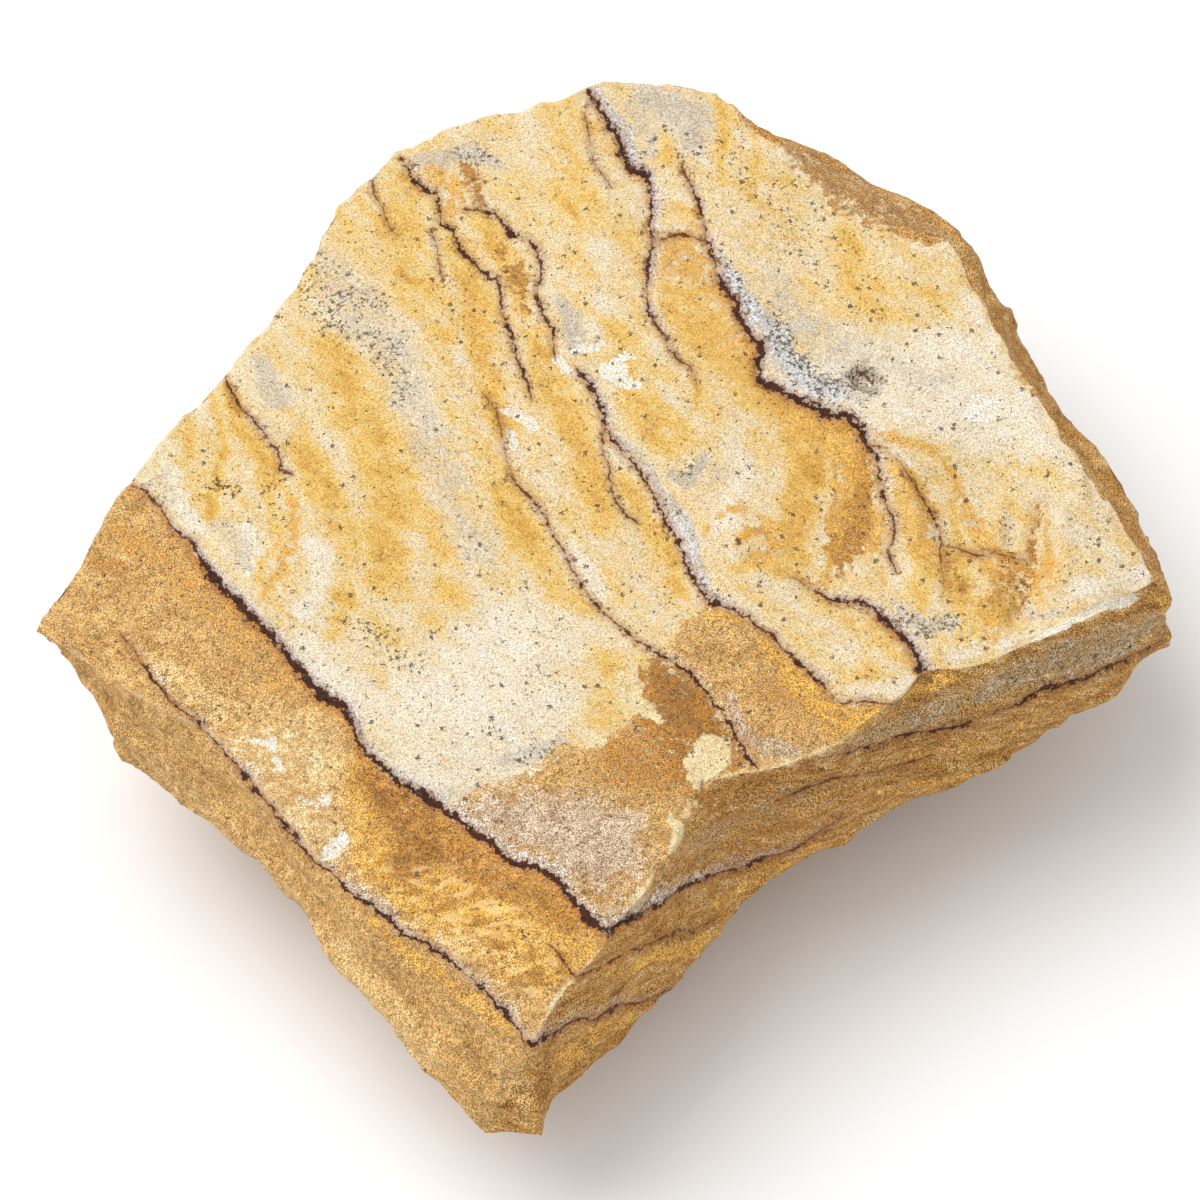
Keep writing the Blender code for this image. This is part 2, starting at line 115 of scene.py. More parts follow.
# Veins in photo pixels, each from its upper left end to its lower right end, as (x, y, half width).
# With each: its group, and how strong the rust on its lower left and the frost on its upper right are.
VEINS = {
    "thick": ("a", 1.0, 1.0, (
        (131, 485, 1.6), (143, 489, 1.6), (163, 512, 1.3), (176, 533, 1.8), (189, 539, 2.6), (196, 553, 3.0),
        (209, 573, 4.0), (224, 589, 4.8), (240, 604, 4.6), (255, 622, 4.6), (273, 637, 4.2), (288, 658, 4.6),
        (306, 678, 4.8), (321, 696, 5.0), (342, 706, 4.6), (348, 714, 4.2), (355, 734, 2.4), (365, 752, 3.0),
        (383, 767, 3.2), (400, 783, 3.8), (420, 794, 4.4), (446, 812, 4.0), (471, 830, 3.8), (494, 847, 4.0),
        (515, 863, 4.2), (543, 870, 3.4), (558, 881, 4.0), (573, 901, 4.2), (589, 919, 4.0), (607, 934, 3.6),
        (630, 919, 2.2), (658, 904, 2.2), (681, 888, 2.0), (711, 876, 1.8), (742, 868, 1.8), (768, 857, 1.4),
        (793, 850, 1.2), (824, 829, 0.8), (844, 814, 0.4))),
    "lower": ("b", 0.45, 0.9, (
        (120, 633, 0.8), (131, 647, 1.4), (143, 665, 1.4), (156, 683, 1.6), (173, 704, 1.6), (194, 718, 1.6),
        (212, 739, 1.8), (230, 760, 2.0), (245, 775, 2.2), (260, 795, 1.6), (269, 806, 1.6), (284, 827, 1.6),
        (297, 844, 2.4), (315, 864, 1.4), (331, 871, 2.2), (347, 889, 3.0), (368, 904, 3.2), (389, 918, 3.2),
        (403, 934, 2.8), (427, 944, 2.2), (443, 954, 2.4), (458, 968, 2.4), (479, 986, 2.2), (501, 1009, 2.4),
        (517, 1027, 2.4), (533, 1046, 2.4), (553, 1033, 2.2), (568, 1024, 1.6), (581, 1018, 1.4),
        (596, 1021, 1.4), (609, 1012, 1.6), (621, 1005, 1.6), (639, 1004, 1.2), (657, 996, 1.0),
        (675, 985, 0.6))),
    "lower_branch": ("c", 0.1, 0.1, (
        (549, 944, 0.6), (557, 952, 1.0), (566, 966, 1.2), (575, 977, 1.2), (586, 973, 1.4), (606, 966, 1.4),
        (627, 953, 1.4), (657, 943, 1.4), (680, 931, 1.6), (695, 932, 1.2), (712, 921, 0.8))),
    "left": ("c", 0.5, 0.5, (
        (226, 379, 1.6), (238, 406, 1.6), (251, 417, 1.6), (266, 437, 1.6), (279, 452, 1.6), (279, 467, 1.4),
        (292, 474, 1.0))),
    "back_thin": ("c", 0.3, 0.1, (
        (372, 171, 1.0), (373, 193, 1.0), (382, 206, 0.9), (389, 226, 0.7), (396, 236, 0.4))),
    "middle": ("a", 0.5, 0.5, (
        (400, 157, 2.4), (409, 172, 2.6), (422, 188, 2.4), (435, 193, 2.2), (440, 206, 2.0), (439, 221, 1.8),
        (453, 231, 1.8), (463, 252, 1.8), (478, 267, 1.8), (488, 277, 1.8), (497, 277, 1.6), (501, 295, 1.6),
        (501, 313, 1.8), (511, 333, 1.8), (516, 356, 1.8), (527, 382, 1.6), (532, 400, 1.0))),
    "middle_loop": ("b", 0.4, 0.5, (
        (463, 208, 0.9), (488, 211, 1.6), (501, 218, 1.8), (511, 234, 2.0), (527, 239, 2.0), (539, 252, 2.2),
        (542, 274, 2.0), (534, 295, 1.8), (544, 315, 2.0), (553, 328, 2.0), (552, 338, 1.8),
        (555, 354, 1.2))),
    "long": ("b", 0.6, 0.9, (
        (577, 370, 2.0), (589, 383, 2.2), (599, 401, 2.4), (605, 424, 2.0), (615, 442, 2.2), (630, 460, 2.0),
        (645, 478, 2.2), (656, 498, 2.2), (666, 521, 2.4), (676, 539, 2.4), (686, 564, 2.2), (694, 580, 2.4),
        (707, 600, 2.4), (730, 610, 2.4), (747, 615, 1.8), (758, 628, 1.6), (773, 636, 2.0), (788, 654, 1.8),
        (806, 669, 1.8), (821, 682, 1.8), (832, 697, 1.4), (842, 703, 1.4), (862, 701, 1.6), (885, 704, 1.2),
        (898, 706, 0.8))),
    "long_branch": ("c", 0.3, 0.1, (
        (603, 427, 0.9), (602, 447, 1.2), (610, 467, 1.2), (611, 488, 1.2), (617, 503, 1.4), (628, 516, 1.4),
        (638, 523, 1.0))),
    "inner": ("a", 0.5, 0.6, (
        (506, 470, 0.8), (521, 488, 1.2), (539, 506, 1.4), (549, 526, 1.4), (565, 554, 1.4), (578, 580, 1.6),
        (592, 600, 1.6), (615, 623, 1.6), (625, 628, 1.6), (633, 638, 1.4), (654, 651, 2.0), (676, 664, 2.2),
        (695, 677, 2.2), (706, 689, 2.0), (721, 710, 2.0), (732, 729, 2.4), (744, 751, 2.8),
        (757, 767, 1.6))),
    "crown": ("a", 0.7, 1.0, (
        (589, 90, 2.8), (592, 98, 3.0), (602, 109, 3.2), (610, 127, 3.4), (620, 137, 3.2), (622, 152, 3.4),
        (630, 170, 3.4), (648, 175, 3.2), (651, 193, 3.0), (652, 208, 2.6), (649, 226, 2.4), (653, 244, 2.0),
        (648, 262, 2.0), (647, 287, 1.8), (648, 313, 1.8), (658, 328, 1.6), (668, 343, 1.6), (676, 359, 1.2),
        (691, 366, 0.8), (699, 389, 0.3))),
    "crown_thin": ("c", 0.2, 0.1, (
        (584, 111, 0.6), (589, 137, 0.9), (594, 162, 0.9), (605, 178, 0.9), (612, 188, 0.5))),
    "right": ("b", 0.9, 0.9, (
        (681, 165, 1.2), (689, 183, 1.6), (699, 203, 2.0), (704, 226, 2.0), (707, 239, 2.2), (714, 259, 2.6),
        (719, 280, 2.8), (735, 300, 3.2), (740, 320, 3.2), (750, 336, 3.2), (763, 346, 3.6), (758, 361, 3.6),
        (760, 379, 4.0), (776, 389, 4.2), (793, 397, 4.4), (811, 405, 4.2), (832, 415, 4.0), (849, 417, 3.8),
        (860, 428, 3.2), (867, 445, 2.8), (878, 460, 2.4), (880, 483, 2.2), (885, 500, 2.0), (892, 516, 1.8),
        (896, 534, 1.6), (888, 549, 1.2), (892, 562, 1.0), (897, 572, 0.6))),
    "right_link": ("c", 0.0, 0.2, (
        (653, 241, 1.0), (679, 233, 1.4), (704, 240, 1.2))),
    "eye_branch": ("a", 0.3, 0.2, (
        (867, 445, 0.7), (884, 447, 0.6), (900, 462, 0.5), (913, 483, 0.7), (925, 501, 1.6), (935, 519, 1.8),
        (942, 537, 1.2), (940, 552, 0.8), (944, 578, 0.6), (944, 603, 0.3))),
    "hollow_edge": ("c", 0.4, 0.3, (
        (945, 545, 0.4), (958, 547, 0.6), (979, 555, 0.8), (994, 552, 0.9), (1012, 556, 0.9),
        (1030, 562, 0.6))),
    "corner": ("c", 0.8, 0.9, (
        (783, 577, 0.3), (793, 577, 0.5), (806, 585, 0.8), (821, 595, 1.5), (832, 600, 2.2), (855, 601, 2.4),
        (875, 610, 2.6), (888, 624, 3.2), (897, 632, 3.6), (907, 639, 3.6), (912, 649, 4.0), (920, 662, 4.0),
        (922, 671, 3.6))),
    "wall_middle": ("b", 0.1, 0.2, (
        (776, 803, 0.6), (790, 796, 1.2), (807, 789, 1.2), (833, 779, 1.0), (857, 776, 0.8), (880, 771, 0.8),
        (897, 766, 1.1), (914, 762, 1.0), (934, 756, 0.6))),
    "left_crack": ("c", 0.1, 0.1, (
        (103, 690, 0.5), (108, 698, 0.8), (113, 706, 0.5))),
    "dome_crack": ("c", 0.2, 0.0, (
        (430, 228, 0.4), (437, 245, 0.9), (438, 262, 0.9), (443, 282, 0.4))),
    "long_side": ("c", 0.1, 0.1, (
        (483, 392, 0.4), (497, 412, 0.8), (503, 440, 0.8), (507, 462, 0.6), (514, 478, 0.4))),
    "ledge": ("a", 0.3, 0.4, (
        (800, 766, 0.6), (826, 757, 1.2), (852, 752, 1.8), (880, 745, 2.4), (914, 735, 2.0), (962, 728, 2.2),
        (987, 718, 2.2), (1018, 706, 2.2), (1043, 690, 2.6), (1071, 683, 2.2), (1094, 676, 2.0),
        (1130, 657, 1.8), (1161, 641, 1.6))),
}
VEIN_GROUPS = "abc"
# In photo pixels: how far a vein's offset is kept, where its width fades out, how far it tapers past its ends
# and its line goes on past them, and how far rust and frost reach past its middle
VEIN_REACH = 28.0
VEIN_FADE = (8.0, 14.0)
VEIN_END = 4.0
OVERSHOOT = 40.0
SIDE_OVERLAP = 1.0
# Rust and frost: how far they reach, the half width of vein that gives them in full, and the most they can be
RUST_REACH = 11.82
FROST_REACH = 10.0
FULL_WIDTH = 2.5
MOST_STRENGTH = 1.3
# Unevenness of the veins' widths
VEIN_WAVES = ((0.5, 1.6, 41), (0.35, 0.8, 42))

# Veins through the hidden sides: group, a place in millimetres, normal, and half width in pixels
SHEETS = (
    ("a", (0.0, -36.0, 24.0), (0.32, 0.22, 0.92), 3.0),
    ("b", (-5.8, -43.9, 20.5), (0.3, 0.2, 0.93), 2.0),
    ("c", (0.0, 0.0, 9.0), (0.3, 0.2, 0.93), 1.4),
    ("a", (-17.8, 37.6, 30.0), (0.66, 0.22, 0.72), 1.8),
    ("c", (-1.0, 44.5, 30.5), (0.7, 0.24, 0.66), 2.4),
)
SHEET_WAVES = ((0.5, 5.0, 5),)
SHEET_SHARE = 0.75
SHEET_RUST = 0.6
SHEET_FROST = 0.4

# Kinds of colour in the order in which they are laid over the ground: a light and a dark tone of each
KINDS = {
    "grey": ((225, 213, 192), (189, 176, 155)),
    "ash": ((232, 230, 226), (192, 187, 180)),
    "tan": ((224, 182, 118), (184, 140, 80)),
    "pink": ((220, 197, 174), (172, 145, 121)),
    "orange": ((242, 192, 100), (198, 142, 58)),
    "brown": ((196, 138, 62), (138, 92, 36)),
    "light": ((238, 202, 144), (212, 172, 112)),
    # A grey-brown for the walls turned from the light: partly their own grey, partly painted shade
    "slate_and_shade": ((202, 178, 144), (160, 138, 106)),
    "cream": ((250, 232, 186), (234, 206, 148)),
    "chip": ((254, 248, 234), (238, 224, 196)),
}
# Kinds with no colour of their own: pale and ochre shift the ground's tone; the last thickens dark specks,
# also as painted shade in pits and creases
SHIFTS = ("pale", "ochre", "specks_and_shade")
# How sugary the grain of a kind is
SUGARY = {"tan": 1.0, "orange": 0.5, "pink": 1.0, "brown": 0.8}

# How raggedly a kind is laid: the reach of the noise, and between which shares it goes from none to all
MIXES = {
    "light": (1.4, 0.0, 1.0),
    "slate_and_shade": (2.0, 0.0, 1.0),
    "grey": (2.2, 0.02, 1.12),
    "cream": (2.2, 0.2, 0.8),
    "chip": (1.6, 0.3, 0.7),
    "pink": (2.2, 0.05, 0.95),
    "tan": (3.2, 0.3, 0.7),
    "brown": (3.0, 0.2, 0.8),
}
USUAL_MIX = (2.6, 0.12, 0.88)

# Tones of the ground and of the walls, each with the noise value that it stands at
GROUND_TONES = (
    (0.0, (245, 232, 208)), (0.3, (240, 221, 185)), (0.5, (239, 211, 155)), (0.72, (238, 197, 111)),
    (1.0, (216, 162, 70)))
WALL_TONES = ((0.15, (232, 206, 164)), (0.38, (212, 168, 106)), (0.6, (190, 140, 72)), (0.85, (150, 104, 52)))

# Colours of the markings, as 8-bit screen colours, or pairs of a light and a dark one
# Painted shade in the walls' crevices
CREVICE_SHADE = (104, 70, 38)
RUST = ((222, 164, 82), (168, 106, 44))
FROST = ((240, 238, 238), (168, 162, 160))
GLINT = (252, 232, 190)
SHADE = (122, 84, 44)
# Painted highlight and painted shade of the scales on the scaly ground
SCALE_HIGHLIGHT = (248, 212, 148)
SCALE_SHADE = (140, 92, 40)
SPECK = (70, 58, 46)
BLOT = (78, 68, 58)
WORN = (240, 224, 192)
STAIN = (158, 104, 60)
HAIRLINE = (112, 66, 28)
CORE = ((84, 47, 29), (24, 11, 8))
# What the grain multiplies the colour by where it is dark and where it is light: calm and loud grain
CALM = ((0.58, 0.55, 0.5, 1.0), (1.08, 1.09, 1.14, 1.0))
LOUD = ((0.25, 0.21, 0.15, 1.0), (1.5, 1.47, 1.38, 1.0))

# Strokes of each kind in photo pixels: strength, softness, and points with half widths
STROKES = {
    "pale": (
        (0.8, 11, ((306, 540, 6), (322, 560, 9), (318, 590, 9), (300, 612, 9))),
        (0.7, 11, ((246, 535, 8), (252, 568, 9))),
        (0.5, 19, ((400, 350, 10), (420, 400, 12), (432, 430, 10))),
        (0.7, 13, ((170, 470, 8), (185, 495, 10), (195, 525, 8))),
        (0.7, 22, ((880, 350, 14), (930, 385, 22), (990, 420, 22), (1030, 450, 14))),
        (0.6, 19, ((730, 450, 16), (745, 480, 14), (720, 520, 8))),
        (0.6, 16, ((600, 250, 8), (608, 275, 10), (590, 330, 10))),
        (0.7, 13, ((570, 545, 6), (590, 570, 8), (605, 595, 6))),
        (0.8, 13, ((1070, 590, 10), (1110, 580, 10), (1145, 570, 8))),
        (0.7, 10, ((860, 690, 8), (885, 690, 8), (905, 680, 6))),
        (0.8, 13, ((950, 655, 6), (985, 645, 6), (1020, 638, 6))),
        (0.6, 11, ((890, 560, 5), (900, 590, 8))),
        (0.6, 12, ((972, 570, 6), (976, 585, 7), (971, 598, 5))),
        (0.7, 30, ((310, 640, 12), (350, 680, 18), (390, 720, 18))),
        (0.5, 26, ((1060, 500, 16), (1100, 560, 16))),
        (0.4, 24, ((790, 610, 14), (850, 655, 16))),
        (0.8, 10, ((965, 290, 4), (985, 330, 6), (1010, 375, 7), (1030, 405, 6))),
    ),
    "ochre": (
        (0.6, 19, ((395, 190, 22), (400, 240, 22), (420, 290, 20), (445, 330, 18))),
        (0.9, 16, ((455, 250, 14), (475, 300, 16), (482, 340, 15), (490, 380, 12), (500, 430, 10))),
        (0.82, 30, (
            (330, 350, 16), (355, 400, 22), (375, 440, 24), (385, 480, 26), (390, 540, 24), (380, 580, 18))),
        (0.8, 13, (
            (300, 440, 12), (320, 480, 18), (338, 520, 16), (348, 560, 12), (346, 600, 10), (336, 630, 8))),
        (0.95, 13, ((500, 490, 8), (520, 530, 18), (540, 560, 18), (560, 590, 14), (585, 610, 8))),
        (0.45, 22, ((440, 520, 16), (450, 580, 20), (430, 640, 22))),
        (0.6, 26, ((560, 640, 24), (600, 670, 24), (600, 715, 16))),
        (0.9, 5, ((228, 388, 6), (240, 425, 10), (262, 452, 10), (272, 475, 9))),
        (0.85, 4, ((212, 393, 4), (218, 420, 5), (221, 450, 5), (219, 480, 7), (212, 505, 8), (205, 520, 6))),
        (0.6, 4, ((190, 418, 3), (188, 440, 4), (181, 462, 4))),
        (0.8, 5, ((262, 480, 8), (274, 510, 7), (274, 550, 6), (258, 575, 5))),
        (0.5, 22, ((560, 105, 20), (565, 150, 24), (575, 200, 20), (590, 250, 16), (600, 290, 12))),
        (1.0, 7, ((475, 218, 8), (500, 250, 12), (515, 280, 12), (520, 310, 8))),
        (0.8, 16, (
            (540, 330, 10), (545, 370, 14), (560, 400, 16), (575, 430, 14), (585, 470, 12), (600, 520, 10))),
        (0.9, 13, ((610, 480, 6), (630, 500, 8), (650, 530, 10), (668, 560, 10), (680, 590, 8))),
        (0.75, 19, ((605, 320, 12), (625, 345, 16), (640, 400, 20), (665, 440, 18))),
        (0.9, 3, ((676, 359, 2), (692, 372, 3), (699, 392, 3), (692, 412, 3))),
        (0.9, 22, ((680, 300, 22), (700, 340, 28), (735, 375, 20), (770, 405, 16))),
        (0.95, 16, ((790, 415, 12), (805, 440, 20), (806, 480, 16), (795, 520, 12), (800, 560, 12))),
        (0.7, 6, ((735, 570, 6), (760, 560, 10), (785, 575, 9))),
        (0.5, 22, ((840, 235, 16), (870, 290, 20), (900, 330, 14))),
        (0.4, 19, ((930, 270, 14), (940, 300, 16))),
        (1.0, 26, ((950, 560, 16), (975, 600, 20), (995, 610, 16))),
        (0.8, 5, ((716, 105, 5), (722, 140, 6), (724, 185, 6))),
        (0.6, 5, ((752, 140, 4), (756, 180, 5), (754, 205, 4))),
        (0.7, 6, ((660, 160, 12), (672, 152, 10))),
        (0.6, 13, ((665, 210, 10), (690, 215, 10))),
        (0.7, 6, ((890, 460, 6), (905, 480, 8), (912, 495, 6))),
        (0.9, 6, ((898, 500, 6), (915, 530, 10), (925, 560, 10), (925, 600, 8))),
        (0.9, 2, ((1016, 580, 3), (1015, 605, 3), (1008, 625, 3))),
        (0.9, 2, ((955, 592, 2), (960, 610, 2.5), (954, 640, 2))),
        (0.9, 2, ((968, 606, 2), (971, 624, 2.5), (964, 646, 2))),
        (0.8, 3, ((948, 500, 3), (957, 530, 4), (962, 545, 3))),
        (0.2, 13, ((1078, 520, 8), (1068, 570, 8))),
        (0.1, 22, ((1000, 450, 14), (1040, 480, 14), (1090, 540, 16))),
    ),
    "grey": (
        (0.55, 25, (
            (325, 250, 12), (345, 290, 20), (370, 320, 24), (395, 350, 20), (410, 400, 18), (430, 450, 18),
            (455, 500, 18), (480, 545, 20))),
        (0.8, 11, ((258, 360, 8), (266, 385, 14), (280, 400, 10))),
        (0.5, 11, ((272, 425, 8), (284, 440, 6))),
        (0.85, 11, ((412, 166, 6), (440, 160, 12), (470, 152, 10), (502, 165, 8))),
        (0.95, 11, ((556, 296, 5), (566, 320, 13), (575, 345, 8))),
        (0.9, 11, ((605, 105, 5), (622, 130, 12), (632, 155, 9), (645, 165, 6))),
        (0.95, 25, ((650, 100, 16), (690, 115, 18), (700, 140, 12))),
        (0.95, 14, (
            (722, 262, 7), (735, 285, 9), (752, 305, 10), (775, 330, 16), (782, 360, 16), (805, 378, 14),
            (835, 388, 12), (858, 400, 8))),
        (0.5, 25, ((830, 340, 14), (880, 360, 18), (940, 380, 18))),
        (0.9, 4, ((670, 470, 6), (688, 480, 10), (701, 462, 7))),
        (0.95, 5, (
            (613, 432, 4), (630, 450, 5), (645, 470, 5), (658, 488, 6), (672, 505, 9), (685, 530, 11),
            (694, 556, 9), (706, 580, 8))),
        (0.5, 22, ((705, 495, 10), (718, 478, 10))),
        (0.6, 14, ((150, 484, 6), (165, 474, 8), (176, 500, 8))),
        (0.6, 14, ((215, 525, 10), (232, 540, 14), (246, 565, 10))),
        (0.7, 5, ((500, 762, 6), (520, 758, 11), (540, 750, 9), (560, 744, 6))),
        (0.5, 14, ((362, 735, 10), (390, 748, 8))),
        (0.6, 5, ((1009, 515, 4), (1012, 532, 6), (1006, 545, 4))),
        (0.75, 11, ((1026, 612, 8), (1042, 616, 6), (1062, 610, 5))),
        (0.7, 11, ((900, 612, 8), (925, 624, 10), (950, 616, 8))),
        (0.7, 5, ((688, 632, 8), (690, 655, 7), (700, 668, 6))),
        (0.8, 4, ((850, 378, 6), (868, 372, 8), (880, 380, 5), (870, 396, 5))),
        (0.6, 30, ((770, 280, 14), (800, 320, 22), (840, 350, 22))),
        (0.5, 16, ((440, 790, 8), (490, 796, 8), (540, 780, 7))),
        (0.75, 11, ((468, 815, 7), (500, 838, 8), (545, 862, 7), (580, 896, 6), (602, 924, 5))),
        (0.8, 4, ((622, 918, 4), (650, 900, 5), (680, 882, 5), (705, 872, 3))),
        (0.8, 18, ((628, 108, 8), (644, 128, 10), (656, 150, 6))),
    ),
    "ash": (
        (0.9, 16, (
            (728, 278, 6), (745, 302, 8), (768, 332, 12), (788, 364, 13), (815, 384, 10), (842, 396, 8))),
        (0.7, 14, ((606, 108, 5), (622, 132, 8), (634, 158, 6))),
        (0.5, 14, ((678, 515, 6), (690, 545, 8), (704, 578, 6))),
        (0.5, 10, ((1028, 612, 6), (1050, 612, 6))),
    ),
    "tan": (
    ),
    "pink": (
        (0.8, 6, ((733, 700, 6), (742, 725, 9), (760, 748, 10), (790, 752, 8))),
    ),
    "orange": (
        (0.7, 9, ((291, 493, 4), (292, 513, 6), (289, 544, 7), (282, 569, 6), (269, 585, 5), (259, 595, 3))),
        (0.6, 20, ((470, 300, 12), (480, 340, 12), (500, 380, 8))),
        (0.6, 20, ((560, 400, 8), (575, 440, 10), (590, 480, 8))),
        (0.7, 20, ((440, 175, 10), (460, 195, 12), (450, 215, 8))),
        (0.5, 30, ((690, 320, 14), (735, 345, 16), (750, 370, 10))),
        (0.95, 18, ((770, 400, 6), (800, 418, 14), (835, 436, 16), (858, 440, 10))),
        (0.9, 6, ((844, 442, 3), (834, 465, 3), (832, 500, 4), (834, 540, 5), (829, 574, 3), (827, 592, 3))),
        (0.6, 5, (
            (706, 532, 3), (714, 518, 4), (728, 509, 4.5), (745, 507, 4.5), (763, 514, 4.5), (780, 528, 4.5),
            (795, 546, 4), (806, 566, 3))),
        (0.9, 8, ((742, 545, 4), (750, 532, 6), (765, 532, 6), (778, 546, 6))),
        (1.0, 6, ((793, 574, 3), (808, 583, 4), (824, 594, 4))),
        (0.75, 10, (
            (872, 433, 4), (900, 438, 5), (930, 452, 5), (950, 472, 5), (958, 492, 5), (966, 512, 5),
            (972, 530, 4))),
        (0.7, 3, ((912, 500, 2), (928, 505, 3), (936, 520, 3))),
        (0.8, 9, (
            (948, 562, 2), (962, 553, 3), (980, 556, 3), (993, 568, 3), (996, 590, 3), (990, 615, 3),
            (978, 640, 2))),
        (0.8, 9, ((1000, 564, 3), (1008, 585, 3), (1006, 610, 3), (995, 632, 3), (984, 650, 2))),
        (1.0, 8, ((990, 549, 4), (1010, 554, 6), (1032, 563, 5), (1040, 572, 4))),
        (0.5, 12, ((1052, 500, 4), (1050, 540, 6), (1044, 575, 6), (1034, 600, 5))),
        (0.35, 16, ((120, 530, 16), (150, 555, 16), (200, 600, 14), (250, 650, 12), (290, 690, 10))),
        (0.9, 4, ((318, 705, 5), (328, 715, 6))),
        (0.9, 22, ((765, 650, 9), (800, 690, 16), (840, 722, 14), (880, 712, 8))),
        (0.8, 4, ((702, 610, 4), (722, 618, 5), (742, 624, 4))),
        (0.7, 8, ((380, 920, 8), (420, 960, 8), (470, 1000, 8), (505, 1030, 6))),
        (0.8, 3, ((902, 700, 2), (922, 688, 5), (945, 680, 4), (962, 673, 2))),
        (0.5, 5, ((1150, 600, 4), (1168, 602, 6), (1172, 625, 5))),
        (0.8, 16, ((905, 480, 8), (925, 520, 10), (930, 560, 8))),
        (0.7, 14, ((960, 500, 6), (985, 545, 10), (1000, 590, 12), (985, 630, 8))),
        (0.6, 20, ((1046, 560, 14), (1040, 590, 12))),
        (0.8, 26, ((760, 560, 10), (800, 540, 10), (812, 500, 10))),
        (0.4, 14, ((860, 770, 5), (920, 762, 7), (980, 745, 6), (1040, 715, 5))),
        (0.4, 12, ((880, 800, 4), (930, 790, 6), (985, 768, 5))),
        (0.8, 10, ((600, 975, 6), (650, 955, 8), (700, 950, 8), (745, 915, 5))),
        (0.7, 10, ((560, 1060, 8), (590, 1035, 8), (640, 1015, 6))),
        (0.6, 10, ((700, 905, 5), (760, 880, 6), (820, 850, 5))),
    ),
    "brown": (
        (0.6, 14, ((500, 255, 8), (520, 280, 10), (524, 305, 6))),
        (0.75, 12, ((466, 170, 5), (478, 192, 9), (480, 208, 5))),
        (0.5, 6, ((828, 522, 4), (836, 548, 8), (845, 556, 6))),
        (0.3, 26, ((950, 570, 14), (985, 600, 20), (1020, 560, 14))),
        # Painted shade beside the ridge at the right, along its crease
        (0.75, 12, (
            (1047, 503, 2), (1039, 526, 3), (1037, 552, 3), (1030, 572, 3), (1024, 593, 3), (1017, 616, 3))),
        # Painted shade in the pit
        (0.4, 5, ((858, 379, 3), (868, 376, 5), (878, 380, 3))),
        (1.0, 26, ((368, 775, 12), (410, 812, 26), (430, 840, 26), (410, 862, 18))),
        (0.8, 30, ((440, 840, 20), (490, 880, 16), (545, 900, 14), (575, 925, 8))),
        (0.6, 5, ((440, 818, 3), (500, 858, 4), (560, 892, 4), (595, 928, 3))),
        (0.25, 20, ((120, 530, 16), (150, 555, 16), (200, 600, 14), (250, 650, 12), (290, 690, 10))),
        (0.4, 8, ((85, 545, 6), (100, 560, 10), (120, 570, 8))),
        (0.6, 22, ((862, 436, 6), (868, 470, 9), (866, 505, 12), (850, 545, 14), (838, 575, 6))),
        (0.6, 20, ((700, 800, 10), (740, 815, 10), (790, 805, 8))),
        (0.75, 30, ((800, 160, 14), (850, 190, 20), (910, 225, 16))),
        (0.4, 24, ((985, 280, 8), (1012, 340, 10), (1042, 400, 8))),
        (0.35, 30, ((760, 690, 14), (800, 710, 14))),
        (0.5, 16, ((700, 850, 6), (760, 838, 9), (800, 820, 6))),
    ),
    # Clusters of dark specks, and painted shade: in the pit, in the creases on the right and along the front
    # wall's crevice
    "specks_and_shade": (
        (0.5, 12, ((832, 484, 4), (826, 496, 7), (824, 508, 5))),
        (0.3, 16, ((668, 466, 6), (690, 470, 8), (702, 462, 4))),
        (1.0, 5, ((854, 377, 5), (866, 374, 8), (880, 378, 6))),
        (0.55, 14, ((858, 384, 10), (872, 396, 7))),
        (0.5, 12, ((1008, 512, 3), (1012, 530, 5), (1006, 546, 3))),
        (0.3, 20, ((905, 612, 6), (928, 626, 9), (952, 618, 7))),
        (0.4, 14, ((1024, 604, 5), (1032, 618, 5), (1056, 612, 4))),
        (0.5, 12, ((770, 320, 8), (780, 345, 8), (815, 380, 7), (842, 390, 6))),
        (0.4, 26, ((770, 786, 8), (860, 762, 8), (960, 700, 12), (1060, 668, 10), (1130, 640, 8))),
    ),
    "light": (
        (0.8, 24, ((150, 660, 10), (190, 690, 14), (235, 715, 12))),
        (0.5, 30, ((150, 760, 10), (230, 840, 14), (300, 930, 16), (350, 1000, 20), (400, 1070, 18))),
        (0.6, 24, ((500, 1070, 10), (525, 1105, 14))),
        (1.0, 26, ((330, 950, 16), (370, 1000, 20), (420, 1050, 18))),
        (0.35, 30, ((450, 930, 14), (500, 960, 18), (545, 985, 10))),
        (0.5, 12, ((850, 832, 4), (880, 818, 6), (900, 806, 4))),
    ),
    # Painted shade on the walls that face away from the light, greyer like their own upper band: front right
    # wall, front wall, broken edge
    "slate_and_shade": (
        (0.7, 18, (
            (795, 763, 3), (840, 750, 5), (880, 733, 7), (920, 718, 10), (960, 699, 12), (1000, 684, 14))),
        (0.8, 24, ((1000, 684, 14), (1045, 664, 14), (1085, 652, 14), (1130, 634, 13), (1155, 622, 8))),
        (0.3, 26, ((660, 880, 8), (700, 840, 14), (760, 812, 16), (820, 786, 8))),
        (0.35, 30, ((790, 150, 10), (850, 190, 18), (910, 222, 14), (945, 235, 8))),
    ),
    "cream": (
        (1.0, 3, ((616, 680, 6), (628, 690, 9), (632, 700, 8))),
        (1.0, 3, ((640, 708, 5), (652, 716, 6), (660, 722, 3))),
        (1.0, 2, ((673, 815, 3), (680, 828, 6), (674, 838, 4), (668, 850, 2))),
    ),
    "chip": (
        (1.0, 3, ((504, 408, 5), (518, 413, 6), (536, 428, 5))),
        (0.9, 3, ((508, 432, 3), (522, 448, 5), (528, 455, 3))),
        (0.8, 2, ((557, 458, 3), (564, 466, 2))),
